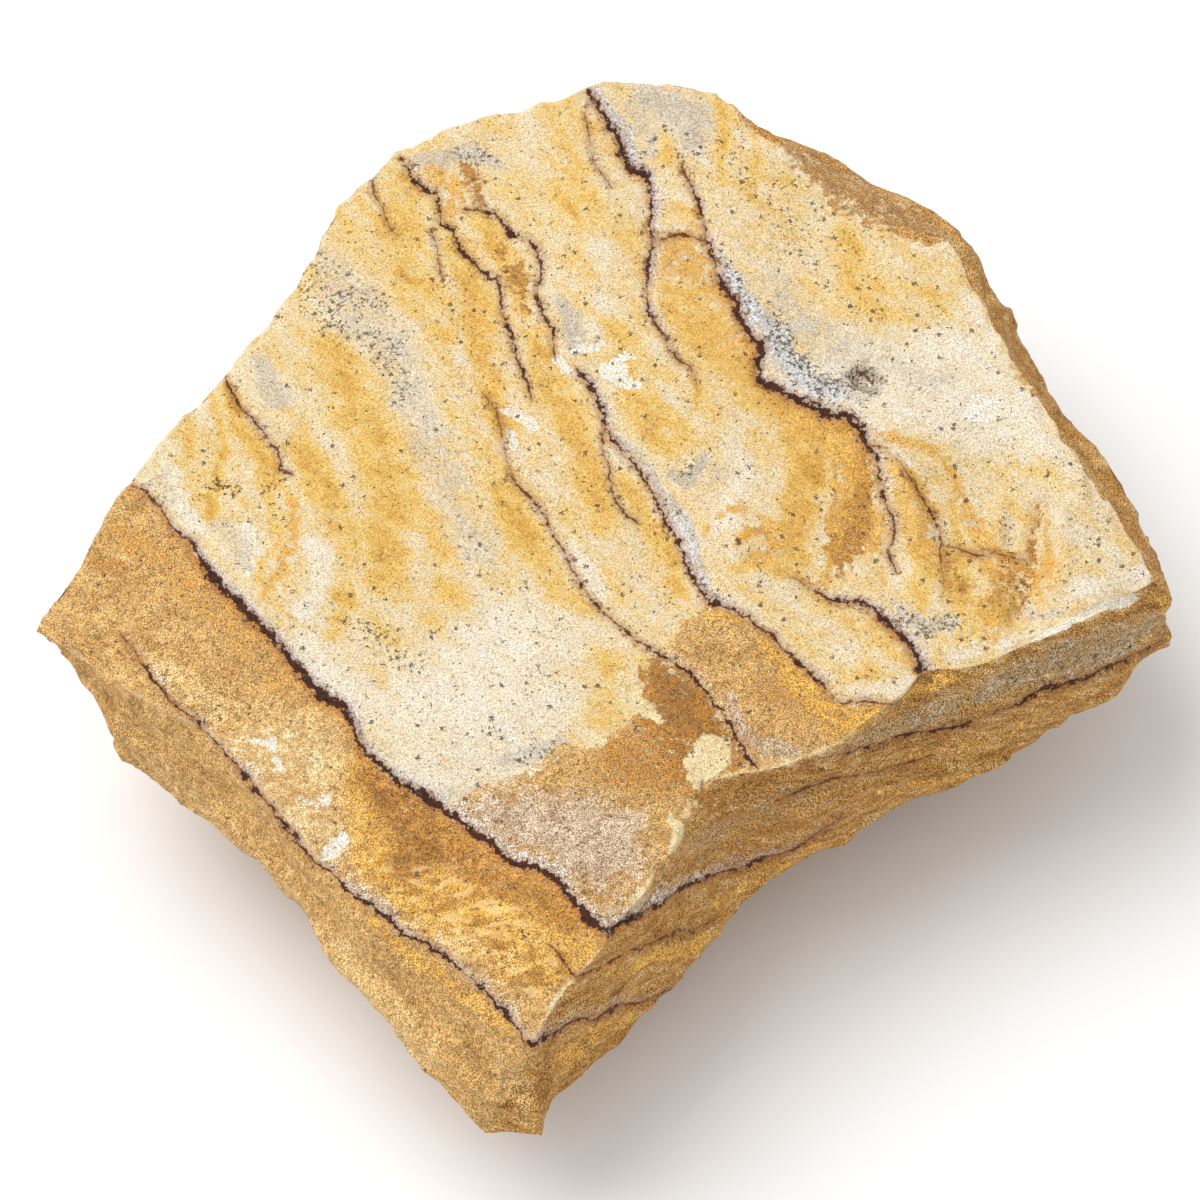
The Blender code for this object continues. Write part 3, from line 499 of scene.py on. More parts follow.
        (1.0, 3, ((574, 352, 4), (590, 348, 6), (600, 346, 4))),
        (1.0, 3, ((558, 358, 4), (566, 370, 4), (578, 376, 2))),
        (1.0, 3, ((606, 370, 5), (622, 378, 10), (636, 388, 5))),
        (0.7, 3, ((618, 362, 4), (636, 356, 4))),
        (0.9, 6, ((972, 408, 8), (990, 410, 10), (1002, 404, 6))),
        (1.0, 3, ((1030, 640, 2), (1060, 630, 4), (1095, 613, 5), (1122, 601, 5), (1138, 595, 3))),
        (0.4, 7, ((664, 737, 2), (674, 742, 3), (688, 748, 2))),
        (0.9, 3, ((256, 738, 4), (268, 742, 6), (272, 752, 4))),
        (0.9, 3, ((275, 760, 4), (282, 772, 4))),
        (0.7, 4, ((300, 800, 3), (318, 806, 7), (330, 800, 5))),
        (1.0, 3, ((318, 858, 4), (330, 848, 9), (340, 838, 6))),
    ),
}

# Patches of each kind in photo pixels: strength, softness, and the outline
PATCHES = {
    "pale": (
        (0.9, 44, (
            (730, 340), (790, 372), (860, 335), (980, 330), (1040, 410), (1070, 460), (960, 440),
            (885, 425))),
        (0.85, 60, (
            (375, 725), (400, 670), (440, 640), (500, 600), (570, 600), (600, 640), (560, 720), (545, 780),
            (470, 795), (420, 785))),
    ),
    "ochre": (
        (0.3, 16, (
            (757, 618), (783, 600), (821, 600), (855, 605), (880, 620), (900, 645), (914, 668), (890, 700),
            (850, 696), (820, 672), (790, 645))),
    ),
    "tan": (
        (1.0, 3, (
            (118, 476), (131, 485), (143, 489), (163, 512), (189, 539), (209, 573), (240, 604), (273, 637),
            (306, 678), (345, 708), (360, 745), (400, 783), (446, 812), (494, 847), (543, 870), (573, 901),
            (607, 934), (577, 979), (550, 1012), (534, 1046), (484, 1140), (300, 1020), (10, 720),
            (10, 600))),
        (1.0, 26, (
            (450, 806), (475, 795), (510, 787), (540, 767), (560, 752), (600, 747), (640, 722), (690, 770),
            (720, 780), (700, 795), (680, 835), (657, 875), (625, 918), (607, 940), (573, 905), (543, 874),
            (494, 850))),
        (1.0, 20, (
            (662, 652), (676, 640), (680, 625), (700, 610), (722, 606), (747, 615), (773, 635), (806, 667),
            (842, 703), (898, 706), (845, 740), (800, 756), (757, 772), (744, 751), (732, 729), (721, 710),
            (706, 689), (695, 677), (676, 664))),
    ),
    "pink": (
        (0.95, 60, (
            (455, 812), (520, 795), (580, 790), (640, 815), (640, 860), (610, 910), (580, 895), (540, 862),
            (500, 845))),
    ),
    "orange": (
        (0.9, 26, (
            (340, 745), (358, 748), (383, 770), (420, 797), (471, 833), (515, 866), (543, 874), (573, 905),
            (604, 936), (575, 975), (545, 1000), (510, 985), (450, 945), (400, 915), (355, 870), (345, 800))),
        (0.75, 22, (
            (655, 243), (665, 234), (682, 231), (697, 234), (705, 243), (711, 262), (716, 282), (730, 302),
            (720, 306), (700, 292), (680, 282), (662, 275), (655, 262))),
        (0.95, 26, (
            (820, 442), (855, 432), (868, 450), (876, 475), (878, 500), (885, 520), (888, 540), (878, 556),
            (860, 546), (845, 560), (832, 552), (828, 530), (833, 500), (837, 470))),
    ),
    "brown": (
        (0.9, 34, (
            (642, 668), (660, 652), (676, 664), (695, 677), (706, 689), (721, 710), (732, 729), (750, 768),
            (738, 772), (710, 770), (690, 790), (668, 786), (660, 752), (640, 730), (644, 700))),
        (0.55, 46, ((600, 750), (640, 735), (680, 745), (690, 775), (670, 800), (620, 790), (585, 775))),
    ),
    "light": (
        (0.9, 34, (
            (205, 738), (240, 705), (300, 705), (345, 722), (352, 745), (342, 790), (345, 850), (330, 868),
            (297, 844), (260, 795), (225, 758))),
    ),
    "cream": (
        (0.3, 34, (
            (225, 738), (250, 715), (300, 712), (335, 735), (335, 790), (335, 845), (300, 840), (265, 790))),
        (1.0, 3, (
            (690, 745), (705, 738), (722, 742), (735, 750), (733, 766), (714, 778), (700, 792), (688, 780),
            (684, 762))),
    ),
}
# Warp of the strokes and patches across and down the photo, in pixels
WARP_ACROSS = ((9.0, 5.0, 1), (4.0, 1.4, 2))
WARP_DOWN = ((9.0, 5.0, 11), (4.0, 1.4, 12))

# Dark specks: density, softness, and points with half widths
SPECKS = (
    (0.95, 20, ((300, 250, 16), (330, 295, 34), (380, 335, 34), (400, 390, 16))),
    (1.0, 5, ((200, 490, 6), (212, 480, 5), (236, 490, 9))),
    (1.0, 5, ((206, 434, 5),)),
    (0.9, 10, ((350, 630, 16), (372, 636, 16), (395, 655, 20))),
    (0.9, 6, ((262, 478, 8), (275, 500, 7), (280, 525, 7))),
    (1.0, 10, (
        (725, 265, 8), (745, 300, 12), (778, 330, 18), (790, 362, 18), (830, 385, 16), (868, 385, 14))),
    (0.6, 20, ((700, 150, 26), (760, 190, 28), (820, 240, 36), (870, 300, 26))),
    (1.0, 8, ((895, 618, 14), (925, 628, 12), (955, 612, 12))),
    (0.7, 10, ((485, 540, 18),)),
    (0.9, 6, ((500, 762, 6), (522, 757, 11), (556, 744, 9))),
    (0.7, 12, ((612, 120, 14), (640, 150, 20))),
    (0.9, 8, ((465, 155, 12), (495, 158, 10))),
    (0.8, 6, ((1006, 525, 8), (1030, 610, 8))),
    (0.7, 10, ((890, 470, 14), (915, 480, 14), (860, 500, 10))),
    (0.8, 6, ((832, 492, 7),)),
    (0.8, 6, ((688, 466, 12),)),
    (0.7, 8, ((740, 545, 8), (700, 580, 10), (720, 595, 8))),
    (0.7, 8, ((440, 290, 20), (470, 320, 18))),
)
SPECK_GROUND = 0.3

# The scaly ground below the thick vein
SCALES = ((380, 850, 10), (430, 890, 30), (490, 935, 40), (540, 980, 30), (550, 1000, 15))
SCALES_SOFTNESS = 40.0

# Dents and creases: depth in millimetres, softness, and points with half widths in photo pixels
DENTS = (
    (0.5, 12, ((858, 380, 5), (872, 378, 6))),
    (0.35, 12, ((1012, 505, 4), (1010, 530, 7), (1004, 548, 5))),
    (0.4, 12, ((1044, 500, 4), (1036, 530, 6), (1034, 560, 6), (1026, 590, 6), (1018, 612, 6))),
    (0.3, 12, ((950, 555, 4), (985, 562, 6), (1020, 566, 5))),
    (0.3, 16, ((925, 620, 8), (950, 622, 8))),
    (0.3, 12, ((580, 362, 5), (625, 380, 8))),
    (0.25, 14, ((515, 418, 6), (525, 445, 6))),
    (-0.3, 16, ((985, 590, 8), (1000, 620, 7))),
    (-0.3, 18, ((1062, 520, 8), (1060, 560, 10), (1050, 595, 8))),
    (-0.2, 16, ((905, 480, 8), (920, 530, 8), (920, 580, 7))),
)

# Faces inside this outline in the photo belong to the broken edge at the upper right, not to the top
BROKEN_EDGE = (
    (728, 100), (745, 126), (778, 146), (800, 156), (804, 174), (832, 194), (862, 214), (886, 224),
    (902, 240), (930, 245), (954, 240), (985, 240), (960, 190), (880, 140), (800, 110))
# Faces inside this outline that look up belong to the top
RIGHT_EDGE = ((1052, 430), (1074, 452), (1088, 474), (1102, 496), (1112, 512), (1080, 512), (1062, 480))

# Floor and light of the studio, in metres and watts
FLOOR_SIZE = 6.0
FLOOR_GAP = 0.0002
FLOOR_TONE = (0.92, 0.92, 0.92, 1.0)
FLOOR_ROUGHNESS = 0.9
SKY_STRENGTH = 0.72
LAMP_SIZE = (0.9, 0.7)
LAMP_POWER = 7.4
LAMP_PLACE = Vector((-0.45, 0.2, 0.85))


def srgb(red, green, blue):
    """Linear colour of an 8-bit screen colour."""
    values = []
    for part in (red, green, blue):
        share = part / 255.0
        values.append(share / 12.92 if share <= 0.04045 else ((share + 0.055) / 1.055) ** 2.4)
    return (*values, 1.0)


def view_axes():
    """Right, up and forward of the photo's camera."""
    tilt = math.radians(ELEVATION)
    forward = Vector((0.0, math.cos(tilt), -math.sin(tilt)))
    right = Vector((1.0, 0.0, 0.0))
    return right, right.cross(forward), forward


def add_camera():
    forward = view_axes()[2]
    data = bpy.data.cameras.new("camera")
    data.lens = LENS
    data.sensor_width = SENSOR
    data.clip_start = NEAR_CLIP
    camera = bpy.data.objects.new("camera", data)
    camera.location = TARGET - forward * DISTANCE
    camera.rotation_euler = (math.radians(90.0 - ELEVATION), 0.0, 0.0)
    bpy.context.scene.collection.objects.link(camera)
    bpy.context.scene.camera = camera


def to_photo(places):
    """Photo pixels of places in metres."""
    right, up, forward = (np.array(axis) for axis in view_axes())
    offset = places - np.array(TARGET - Vector(forward) * DISTANCE)
    depth = offset @ forward
    scale = PHOTO_SIZE * LENS / SENSOR
    across = PHOTO_SIZE / 2 + scale * (offset @ right) / depth
    down = PHOTO_SIZE / 2 - scale * (offset @ up) / depth
    return np.stack([across, down], axis=1)


def wave(places, size, seed):
    """Smooth noise from -1 to 1 at each place, with waves of a size in metres."""
    shift = Vector((seed * 7.31, seed * 3.17, seed * 5.03))
    return np.array([noise.noise(Vector(place) / size + shift) for place in places])


def waves(places, rows):
    """Sum of waves, each row with its height, its size in millimetres and its seed."""
    return sum(height * wave(places, size * MM, seed) for height, size, seed in rows)


def step(values, low, high):
    """Smooth rise from 0 at low to 1 at high."""
    share = np.clip((values - low) / (high - low), 0.0, 1.0)
    return share * share * (3.0 - 2.0 * share)


def from_line(points, line):
    """Signed distance from a line, positive on the right of its direction, how far along it from 0 to 1, and
    how far each of its points is along it. Past its ends the line goes on straight."""
    line = np.asarray(line, float)
    best = np.full(len(points), FAR)
    signed = np.full(len(points), FAR)
    where = np.zeros(len(points))
    lengths = np.hypot(*(line[1:, :2] - line[:-1, :2]).T)
    starts = np.concatenate([[0.0], np.cumsum(lengths)])
    for index, (start, end, length) in enumerate(zip(line[:-1, :2], line[1:, :2], lengths)):
        run = (end - start) / length
        offset = points - start
        along = offset @ run
        inside = np.clip(along, 0.0, length)
        away = offset - inside[:, None] * run
        distance = np.hypot(away[:, 0], away[:, 1])
        side = run[0] * away[:, 1] - run[1] * away[:, 0]
        closer = distance < best
        best[closer] = distance[closer]
        signed[closer] = np.copysign(distance, side)[closer]
        low = -OVERSHOOT if index == 0 else 0.0
        high = length + OVERSHOOT if index == len(lengths) - 1 else length
        where[closer] = (starts[index] + np.clip(along, low, high))[closer]
    return signed, where / starts[-1], starts / starts[-1]


def inside_outline(points, outline):
    """Distance from a closed outline in photo pixels, positive inside it."""
    closed = np.asarray((*outline, outline[0]), float)
    distance = np.abs(from_line(points, closed)[0])
    within = np.zeros(len(points), bool)
    for (ax, ay), (bx, by) in zip(closed[:-1], closed[1:]):
        crosses = (ay > points[:, 1]) != (by > points[:, 1])
        if ay != by:
            within ^= crosses & (points[:, 0] < (bx - ax) * (points[:, 1] - ay) / (by - ay) + ax)
    return np.where(within, distance, -distance)


def stroke_share(points, line, softness):
    """1 along a stroke, 0 away from it. A single point makes a dot."""
    if len(line) == 1:
        x, y, width = line[0]
        depth = width - np.hypot(points[:, 0] - x, points[:, 1] - y)
    else:
        signed, where, marks = from_line(points, line)
        depth = np.interp(where, marks, [point[2] for point in line]) - np.abs(signed)
    return step(depth, -softness / 2, softness / 2)


def spread(start, allowed):
    """The faces that can be reached from one face over allowed faces."""
    reached = {start}
    waiting = [start]
    while waiting:
        face = waiting.pop()
        for edge in face.edges:
            for other in edge.link_faces:
                if other not in reached and allowed(other, edge):
                    reached.add(other)
                    waiting.append(other)
    return reached


def flat_distance(face):
    """How far a face is from the stone's middle, seen from above."""
    return face.calc_center_median().xy.length


def mark_top(mesh, layer):
    """Mark the faces of the top: all but the walls, which reach up to where the top turns down sharply."""
    middle = max(mesh.faces, key=lambda face: face.normal.z - flat_distance(face) / MIDDLE_REACH)
    level = spread(middle, lambda face, edge: face.normal.z > LEVEL and edge.calc_face_angle() < TOP_TURN)
    lowest = min(mesh.faces, key=lambda face: face.calc_center_median().z)
    walls = spread(lowest, lambda face, edge: face not in level)
    for face in mesh.faces:
        face[layer] = face not in walls
    for _ in range(EVEN_ROUNDS):
        sides = {face: sum(other[layer] for edge in face.edges for other in edge.link_faces if other != face)
                 for face in mesh.faces}
        for face, of_top in sides.items():
            face[layer] = of_top >= 2


def trim_top(mesh, layer):
    """Faces below the lower vein, where the left side begins, and of the broken edge are not of the top."""
    photo = to_photo(np.array([face.calc_center_median() for face in mesh.faces]))
    lower_vein = VEINS["lower"][-1]
    signed, where, _ = from_line(photo, [point for point in lower_vein if point[0] <= LOWER_CORNER])
    broken = inside_outline(photo, BROKEN_EDGE) > 0
    kept = inside_outline(photo, RIGHT_EDGE) > 0
    for face, offset, share, edge, keep in zip(mesh.faces, signed, where, broken, kept):
        if edge or (offset > 0 and LOWER_START < share < 1.0):
            face[layer] = 0
        elif keep and face.normal.z > LOOKS_UP:
            face[layer] = 1


def smooth_between(mesh, fixed):
    """Move each free vertex to its neighbours' middle, a few times over."""
    places = np.array([corner.co for corner in mesh.verts])
    ends = np.array([[edge.verts[0].index, edge.verts[1].index] for edge in mesh.edges])
    counts = np.bincount(ends.ravel(), minlength=len(places))[:, None]
    free = np.ones(len(places), bool)
    free[list(fixed)] = False
    for _ in range(SMOOTH_ROUNDS):
        total = np.zeros_like(places)
        np.add.at(total, ends[:, 0], places[ends[:, 1]])
        np.add.at(total, ends[:, 1], places[ends[:, 0]])
        places[free] = (total / counts)[free]
    for corner, place in zip(mesh.verts, places):
        corner.co = place


def refined_copy():
    """The CAD mesh divided finely and smoothed between its sharp edges, and places along the top's rim."""
    mesh = bmesh.new()
    mesh.from_mesh(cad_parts[STONE].data)
    bmesh.ops.remove_doubles(mesh, verts=mesh.verts, dist=MERGE)
    mesh.normal_update()
    top = mesh.faces.layers.int.new("top")
    mark_top(mesh, top)
    bmesh.ops.subdivide_edges(mesh, edges=mesh.edges, cuts=CUTS, use_grid_fill=True)
    bmesh.ops.triangulate(mesh, faces=mesh.faces)
    mesh.verts.index_update()
    mesh.normal_update()
    sharp = [edge for edge in mesh.edges if edge.calc_face_angle() > SHARP_ANGLE]
    fixed = {corner.index for edge in sharp for corner in edge.verts}
    flat = {corner.index for corner in mesh.verts if corner.co.z < REST_DEPTH}
    smooth_between(mesh, fixed | flat)
    trim_top(mesh, top)
    rim = [edge for edge in mesh.edges if edge.link_faces[0][top] != edge.link_faces[1][top]]
    rim_places = [corner.co.copy() for edge in rim for corner in edge.verts]
    data = bpy.data.meshes.new("picture_jasper_stone")
    mesh.to_mesh(data)
    mesh.free()
    return data, rim_places


def arrays(data):
    """Positions and normals of a mesh's vertices."""
    places = np.empty(len(data.vertices) * 3)
    normals = np.empty(len(data.vertices) * 3)
    data.vertices.foreach_get("co", places)
    data.vertices.foreach_get("normal", normals)
    return places.reshape(-1, 3), normals.reshape(-1, 3)


def set_field(data, name, values, domain="POINT"):
    made = data.attributes.new(name, "FLOAT", domain)
    made.data.foreach_set("value", np.asarray(values, np.float32))


def top_of_corners(data):
    """Turn the faces' mark of the top into a field of their corners, and give its mean round each vertex."""
    of_top = np.empty(len(data.polygons), np.int32)
    data.attributes["top"].data.foreach_get("value", of_top)
    data.attributes.remove(data.attributes["top"])
    repeated = np.repeat(of_top, 3).astype(float)
    set_field(data, "top", repeated, "CORNER")
    corners = np.empty(len(data.loops), np.int32)
    data.loops.foreach_get("vertex_index", corners)
    count = len(data.vertices)
    return np.bincount(corners, repeated, count) / np.bincount(corners, minlength=count)


def rim_distance(places, rim_places):
    """Distance of each place from the nearest edge between the top and the walls."""
    tree = kdtree.KDTree(len(rim_places))
    for index, place in enumerate(rim_places):
        tree.insert(place, index)
    tree.balance()
    return np.array([tree.find(place)[2] for place in places])


def vein_traces(places, photo, seen):
    """For each vein and sheet: group, offset and half width in pixels, where it may show, rust and frost."""
    uneven = 1.0 + waves(places, VEIN_WAVES)
    for group, rust, frost, line in VEINS.values():
        signed, where, marks = from_line(photo, line)
        length = math.fsum(math.dist(start[:2], end[:2]) for start, end in zip(line, line[1:]))
        past = np.maximum(-where, where - 1.0) * length
        width = np.interp(where, marks, [point[2] for point in line]) * (1.0 - step(past, 0.0, VEIN_END))
        yield group, signed, width * uneven, seen, rust, frost
    patchy = SHEET_SHARE + waves(places, SHEET_WAVES)
    for group, place, normal, width in SHEETS:
        across = np.array(normal) / np.linalg.norm(normal)
        signed = -((places - np.array(place) * MM) @ across) / PIXEL
        yield group, signed, width * patchy, ~seen, SHEET_RUST, SHEET_FROST


def paint_veins(data, places, photo, seen):
    """Write each group's offset and half width, in millimetres, and the rust and frost beside the veins."""
    rust = np.zeros(len(photo))
    frost = np.zeros(len(photo))
    offsets = {group: np.full(len(photo), VEIN_REACH) for group in VEIN_GROUPS}
    widths = {group: np.zeros(len(photo)) for group in VEIN_GROUPS}
    for group, signed, width, allowed, rust_share, frost_share in vein_traces(places, photo, seen):
        near = allowed & (np.abs(signed) < np.abs(offsets[group]))
        offsets[group][near] = np.clip(signed, -VEIN_REACH, VEIN_REACH)[near]
        fade = 1.0 - step(np.abs(signed), *VEIN_FADE)
        widths[group][near] = (width * fade)[near]
        strength = np.clip(width / FULL_WIDTH, 0.0, MOST_STRENGTH) * allowed
        below = rust_share * np.exp(-np.abs(signed) / RUST_REACH) * (signed > -SIDE_OVERLAP)
        above = frost_share * np.exp(-np.abs(signed) / FROST_REACH) * (signed < SIDE_OVERLAP)
        rust = np.maximum(rust, strength * below)
        frost = np.maximum(frost, strength * above)
    for group in VEIN_GROUPS:
        offsets[group] *= PIXEL / MM
        widths[group] *= PIXEL / MM
        set_field(data, "offset_" + group, offsets[group])
        set_field(data, "width_" + group, widths[group])
    set_field(data, "rust", rust)
    set_field(data, "frost", frost)
    return offsets, widths, frost


def paint_colours(data, places, photo, seen):
    """Write how much of each kind of colour, and of the dark specks, there is at each vertex."""
    warped = photo + np.stack([waves(places, WARP_ACROSS), waves(places, WARP_DOWN)], axis=1)
    fields = {kind: np.zeros(len(photo)) for kind in (*KINDS, *SHIFTS)}
    for kind, patches in PATCHES.items():
        for strength, softness, outline in patches:
            share = step(inside_outline(warped, outline), -softness / 2, softness / 2)
            fields[kind] = np.maximum(fields[kind], strength * share)
    for kind, strokes in STROKES.items():
        for strength, softness, line in strokes:
            fields[kind] = np.maximum(fields[kind], strength * stroke_share(warped, line, softness))
    specks = np.full(len(photo), SPECK_GROUND)
    for strength, softness, line in SPECKS:
        specks = np.maximum(specks, strength * stroke_share(warped, line, softness))
    for kind, values in fields.items():
        values[~seen] = 0.0
        set_field(data, kind, values)
    set_field(data, "specks", specks)
    return fields


def ledges(places):
    """Steps of the bedding across the walls, in millimetres."""
    along = places @ BEDDING / LEDGE_PITCH + waves(places, LEDGE_WAVES)
    return LEDGE_HEIGHT * (np.abs(along % 1.0 - LEDGE_LOW) - LEDGE_MIDDLE)


def grooves(offsets, widths):
    """Depth of the grooves along the veins, in millimetres."""
    total = 0.0
    for group in VEIN_GROUPS:
        width = widths[group]
        reach = np.maximum(width, GROOVE_LEAST_WIDTH) + GROOVE_SHOULDER
        depth = np.clip(GROOVE_BASE + GROOVE_SLOPE * width, 0.0, GROOVE_MOST) * (width > GROOVE_FROM_WIDTH)
        total = total + depth * np.exp(-((offsets[group] / reach) ** 2))
    return total


def rim_chips(places, rim):
    """Depth of the chips broken off along the rim, in millimetres."""
    chips = np.clip(waves(places, CHIP_WAVES), -RIM_CHIP_LEVEL, 1.0) + RIM_CHIP_LEVEL
    return RIM_CHIP_DEPTH * chips * np.exp(-((rim / RIM_CHIP_REACH) ** 2))


def top_relief(places, photo, painted, scaly):
    """Height of the top's grain, its sugary and scaly ground and its dents, in millimetres."""
    sugary = np.maximum.reduce([painted[kind] for kind in SUGARY])
    height = waves(places, TOP_WAVES) + sugary * waves(places, SUGAR_WAVES) - OCHRE_DEPTH * painted["ochre"]
    height += scaly * waves(places * SCALE_STRETCH, SCALE_WAVES)
    for depth, softness, line in DENTS:
        height -= depth * stroke_share(photo, line, softness)
    return height


def roughen(data, places, normals, height):
    """Move each vertex along its normal by a height in millimetres, less so just above the floor."""
    height = height * step(places[:, 2], *CALM_FOOT)
    places = places + normals * (height * MM)[:, None]
    places[:, 2] = np.maximum(places[:, 2], 0.0)
    data.vertices.foreach_set("co", places.ravel())


class Nodes:
    """Short ways to add shader nodes to one material."""

    def __init__(self, name):
        self.material = bpy.data.materials.new(name)
        self.material.use_nodes = True
        self.tree = self.material.node_tree
        self.shader = self.tree.nodes["Principled BSDF"]
        self.place = self.tree.nodes.new("ShaderNodeTexCoord").outputs["Object"]

    def put(self, socket, value):
        if isinstance(value, bpy.types.NodeSocket):
            self.tree.links.new(value, socket)
        else:
            socket.default_value = value

    def field(self, name):
        node = self.tree.nodes.new("ShaderNodeAttribute")
        node.attribute_name = name
        return node.outputs["Fac"]

    def math(self, operation, first, second=0.0, clamp=False):
        node = self.tree.nodes.new("ShaderNodeMath")
        node.operation = operation
        node.use_clamp = clamp
        self.put(node.inputs[0], first)
        self.put(node.inputs[1], second)
        return node.outputs[0]

    def times(self, first, *others):
        for other in others:
            first = self.math("MULTIPLY", first, other)
        return first

    def plus(self, first, *others):
        for other in others:
            first = self.math("ADD", first, other)
        return first

    def minus(self, first, second):
        return self.math("SUBTRACT", first, second)

    def distance(self, first, second):
        return self.math("ABSOLUTE", self.minus(first, second))

    def clamped(self, first, second=0.0):
        """Sum of two values, kept between 0 and 1."""
        return self.math("ADD", first, second, True)

    def mix(self, *parts):
        """Sum of values, each times its own weight."""
        return self.plus(*(self.times(value, weight) for value, weight in parts))

    def shifted(self, value, noise_value, reach):
        """A value with noise of a reach added."""
        return self.plus(value, self.times(self.minus(noise_value, 0.5), reach))

    def rise(self, value, low, high):
        """0 below low, 1 above high, smooth between. With high below low it falls instead."""
        node = self.tree.nodes.new("ShaderNodeMapRange")
        node.interpolation_type = "SMOOTHSTEP"
        self.put(node.inputs["Value"], value)
        self.put(node.inputs["From Min"], low)
        self.put(node.inputs["From Max"], high)
        return node.outputs["Result"]

    def grain(self, size, detail, rough, place=None):
        """Noise around 0.5 with waves of a size in millimetres."""
        node = self.tree.nodes.new("ShaderNodeTexNoise")
        node.inputs["Scale"].default_value = 1.0 / (size * MM)
        node.inputs["Detail"].default_value = detail
        node.inputs["Roughness"].default_value = rough
        self.put(node.inputs["Vector"], place or self.place)
        return node.outputs["Fac"]

    def cells(self, size):
        """Distance from the nearest of points scattered a size in millimetres apart, and a value for it."""
        node = self.tree.nodes.new("ShaderNodeTexVoronoi")
        node.inputs["Scale"].default_value = 1.0 / (size * MM)
        self.put(node.inputs["Vector"], self.place)
        parts = self.tree.nodes.new("ShaderNodeSeparateColor")
        self.put(parts.inputs["Color"], node.outputs["Color"])
        return node.outputs["Distance"], parts.outputs["Red"]

    def vector(self, operation, first, second):
        node = self.tree.nodes.new("ShaderNodeVectorMath")
        node.operation = operation
        self.put(node.inputs[0], first)
        self.put(node.inputs["Scale" if operation == "SCALE" else 1], second)
        return node.outputs["Value" if operation == "DOT_PRODUCT" else "Vector"]

    def layered(self, share):
        """Places drawn out across the bedding, so that noise on them forms streaks along it."""
        height = self.vector("DOT_PRODUCT", self.place, tuple(BEDDING))
        drawn = self.vector("SCALE", tuple(BEDDING), self.times(height, share))
        return self.vector("ADD", self.place, drawn)

    def ramp(self, value, tones):
        """Colour at a value, between tones that each have their own value."""
        node = self.tree.nodes.new("ShaderNodeValToRGB")
        while len(node.color_ramp.elements) < len(tones):
            node.color_ramp.elements.new(0.5)
        for element, (place, tone) in zip(node.color_ramp.elements, tones):
            element.position = place
            element.color = srgb(*tone)
        self.put(node.inputs["Fac"], value)
        return node.outputs["Color"]

    def blend(self, share, first, second, kind="MIX"):
        node = self.tree.nodes.new("ShaderNodeMix")
        node.data_type = "RGBA"
        node.blend_type = kind
        self.put(node.inputs["Factor"], share)
        self.put(node.inputs["A"], first)
        self.put(node.inputs["B"], second)
        return node.outputs["Result"]

    def tinted(self, share, tones):
        """Colour between the dark tone of a pair, at 0, and its light tone, at 1."""
        light, dark = tones
        return self.blend(share, srgb(*dark), srgb(*light))


class Rock(Nodes):
    """The stone's material, with the noises that its colours share."""

    def __init__(self):
        super().__init__("jasper")
        self.micro = self.grain(0.11, 1.0, 0.5)
        self.fine = self.grain(0.15, 2.0, 0.8)
        self.pepper = self.grain(0.3, 1.0, 0.5)
        self.small = self.grain(0.7, 2.0, 0.75)
        self.clouds = self.grain(2.4, 2.0, 0.65)
        self.bands = self.grain(5.0, 3.0, 0.65, self.layered(5.0))
        self.tone = self.rise(self.grains(0.6, 0.4, 0.0), 0.37, 0.63)
        self.patchy = self.rise(self.grains(0.25, 0.35, 0.4), 0.36, 0.64)
        self.mottle = self.grains(0.35, 0.4, 0.25)
        self.crumble = self.grains(0.5, 1.1, 0.8)

    def grains(self, fine, small, clouds):
        """Sum of three noises with weights, moved so that it stays around 0.5."""
        level = 0.5 * (1.0 - fine - small - clouds)
        return self.plus(self.mix((self.fine, fine), (self.small, small), (self.clouds, clouds)), level)


def ground_colour(rock):
    """The cream and ochre bands of the top."""
    warmth = rock.mix((rock.bands, 1.1), (rock.small, 0.5), (rock.clouds, 0.42),
                      (rock.field("ochre"), 0.34), (rock.field("pale"), -0.46))
    return rock.ramp(rock.minus(warmth, 0.53), GROUND_TONES)


def wall_colour(rock):
    """The browns of the walls, in streaks along the bedding, with painted shade in dark crevice lines between
    them.
    """
    streaks = rock.grain(3.0, 3.0, 0.65, rock.layered(4.0))
    tone = rock.mix((streaks, 1.25), (rock.small, 0.6), (rock.clouds, 0.6), (0.5, -1.4))
    line = rock.rise(rock.distance(rock.bands, 0.47), 0.012, 0.0)
    crevice_shade = rock.times(line, rock.rise(rock.clouds, 0.44, 0.56), 0.55)
    return rock.blend(crevice_shade, rock.ramp(tone, WALL_TONES), srgb(*CREVICE_SHADE))


def lay_kinds(rock, colour):
    """The painted kinds of colour, each with its own ragged edge."""
    for kind, tones in KINDS.items():
        reach, low, high = MIXES.get(kind, USUAL_MIX)
        field = rock.field(kind)
        edge = rock.times(field, rock.minus(1.0, field), 4.0)
        share = rock.rise(rock.shifted(field, rock.crumble, rock.times(edge, reach)), low, high)
        colour = rock.blend(share, colour, rock.tinted(rock.patchy, tones))
    return colour


def lay_rust_and_frost(rock, colour):
    """The rusty ground on the lower side of the veins and the frosty one on their upper side."""
    rust = rock.rise(rock.shifted(rock.field("rust"), rock.mottle, 2.2), 0.15, 1.0)
    colour = rock.blend(rust, colour, rock.tinted(rock.patchy, RUST))
    frost = rock.rise(rock.shifted(rock.field("frost"), rock.mottle, 2.4), 0.15, 0.85)
    return rock.blend(rock.times(frost, 0.9), colour, rock.tinted(rock.tone, FROST))


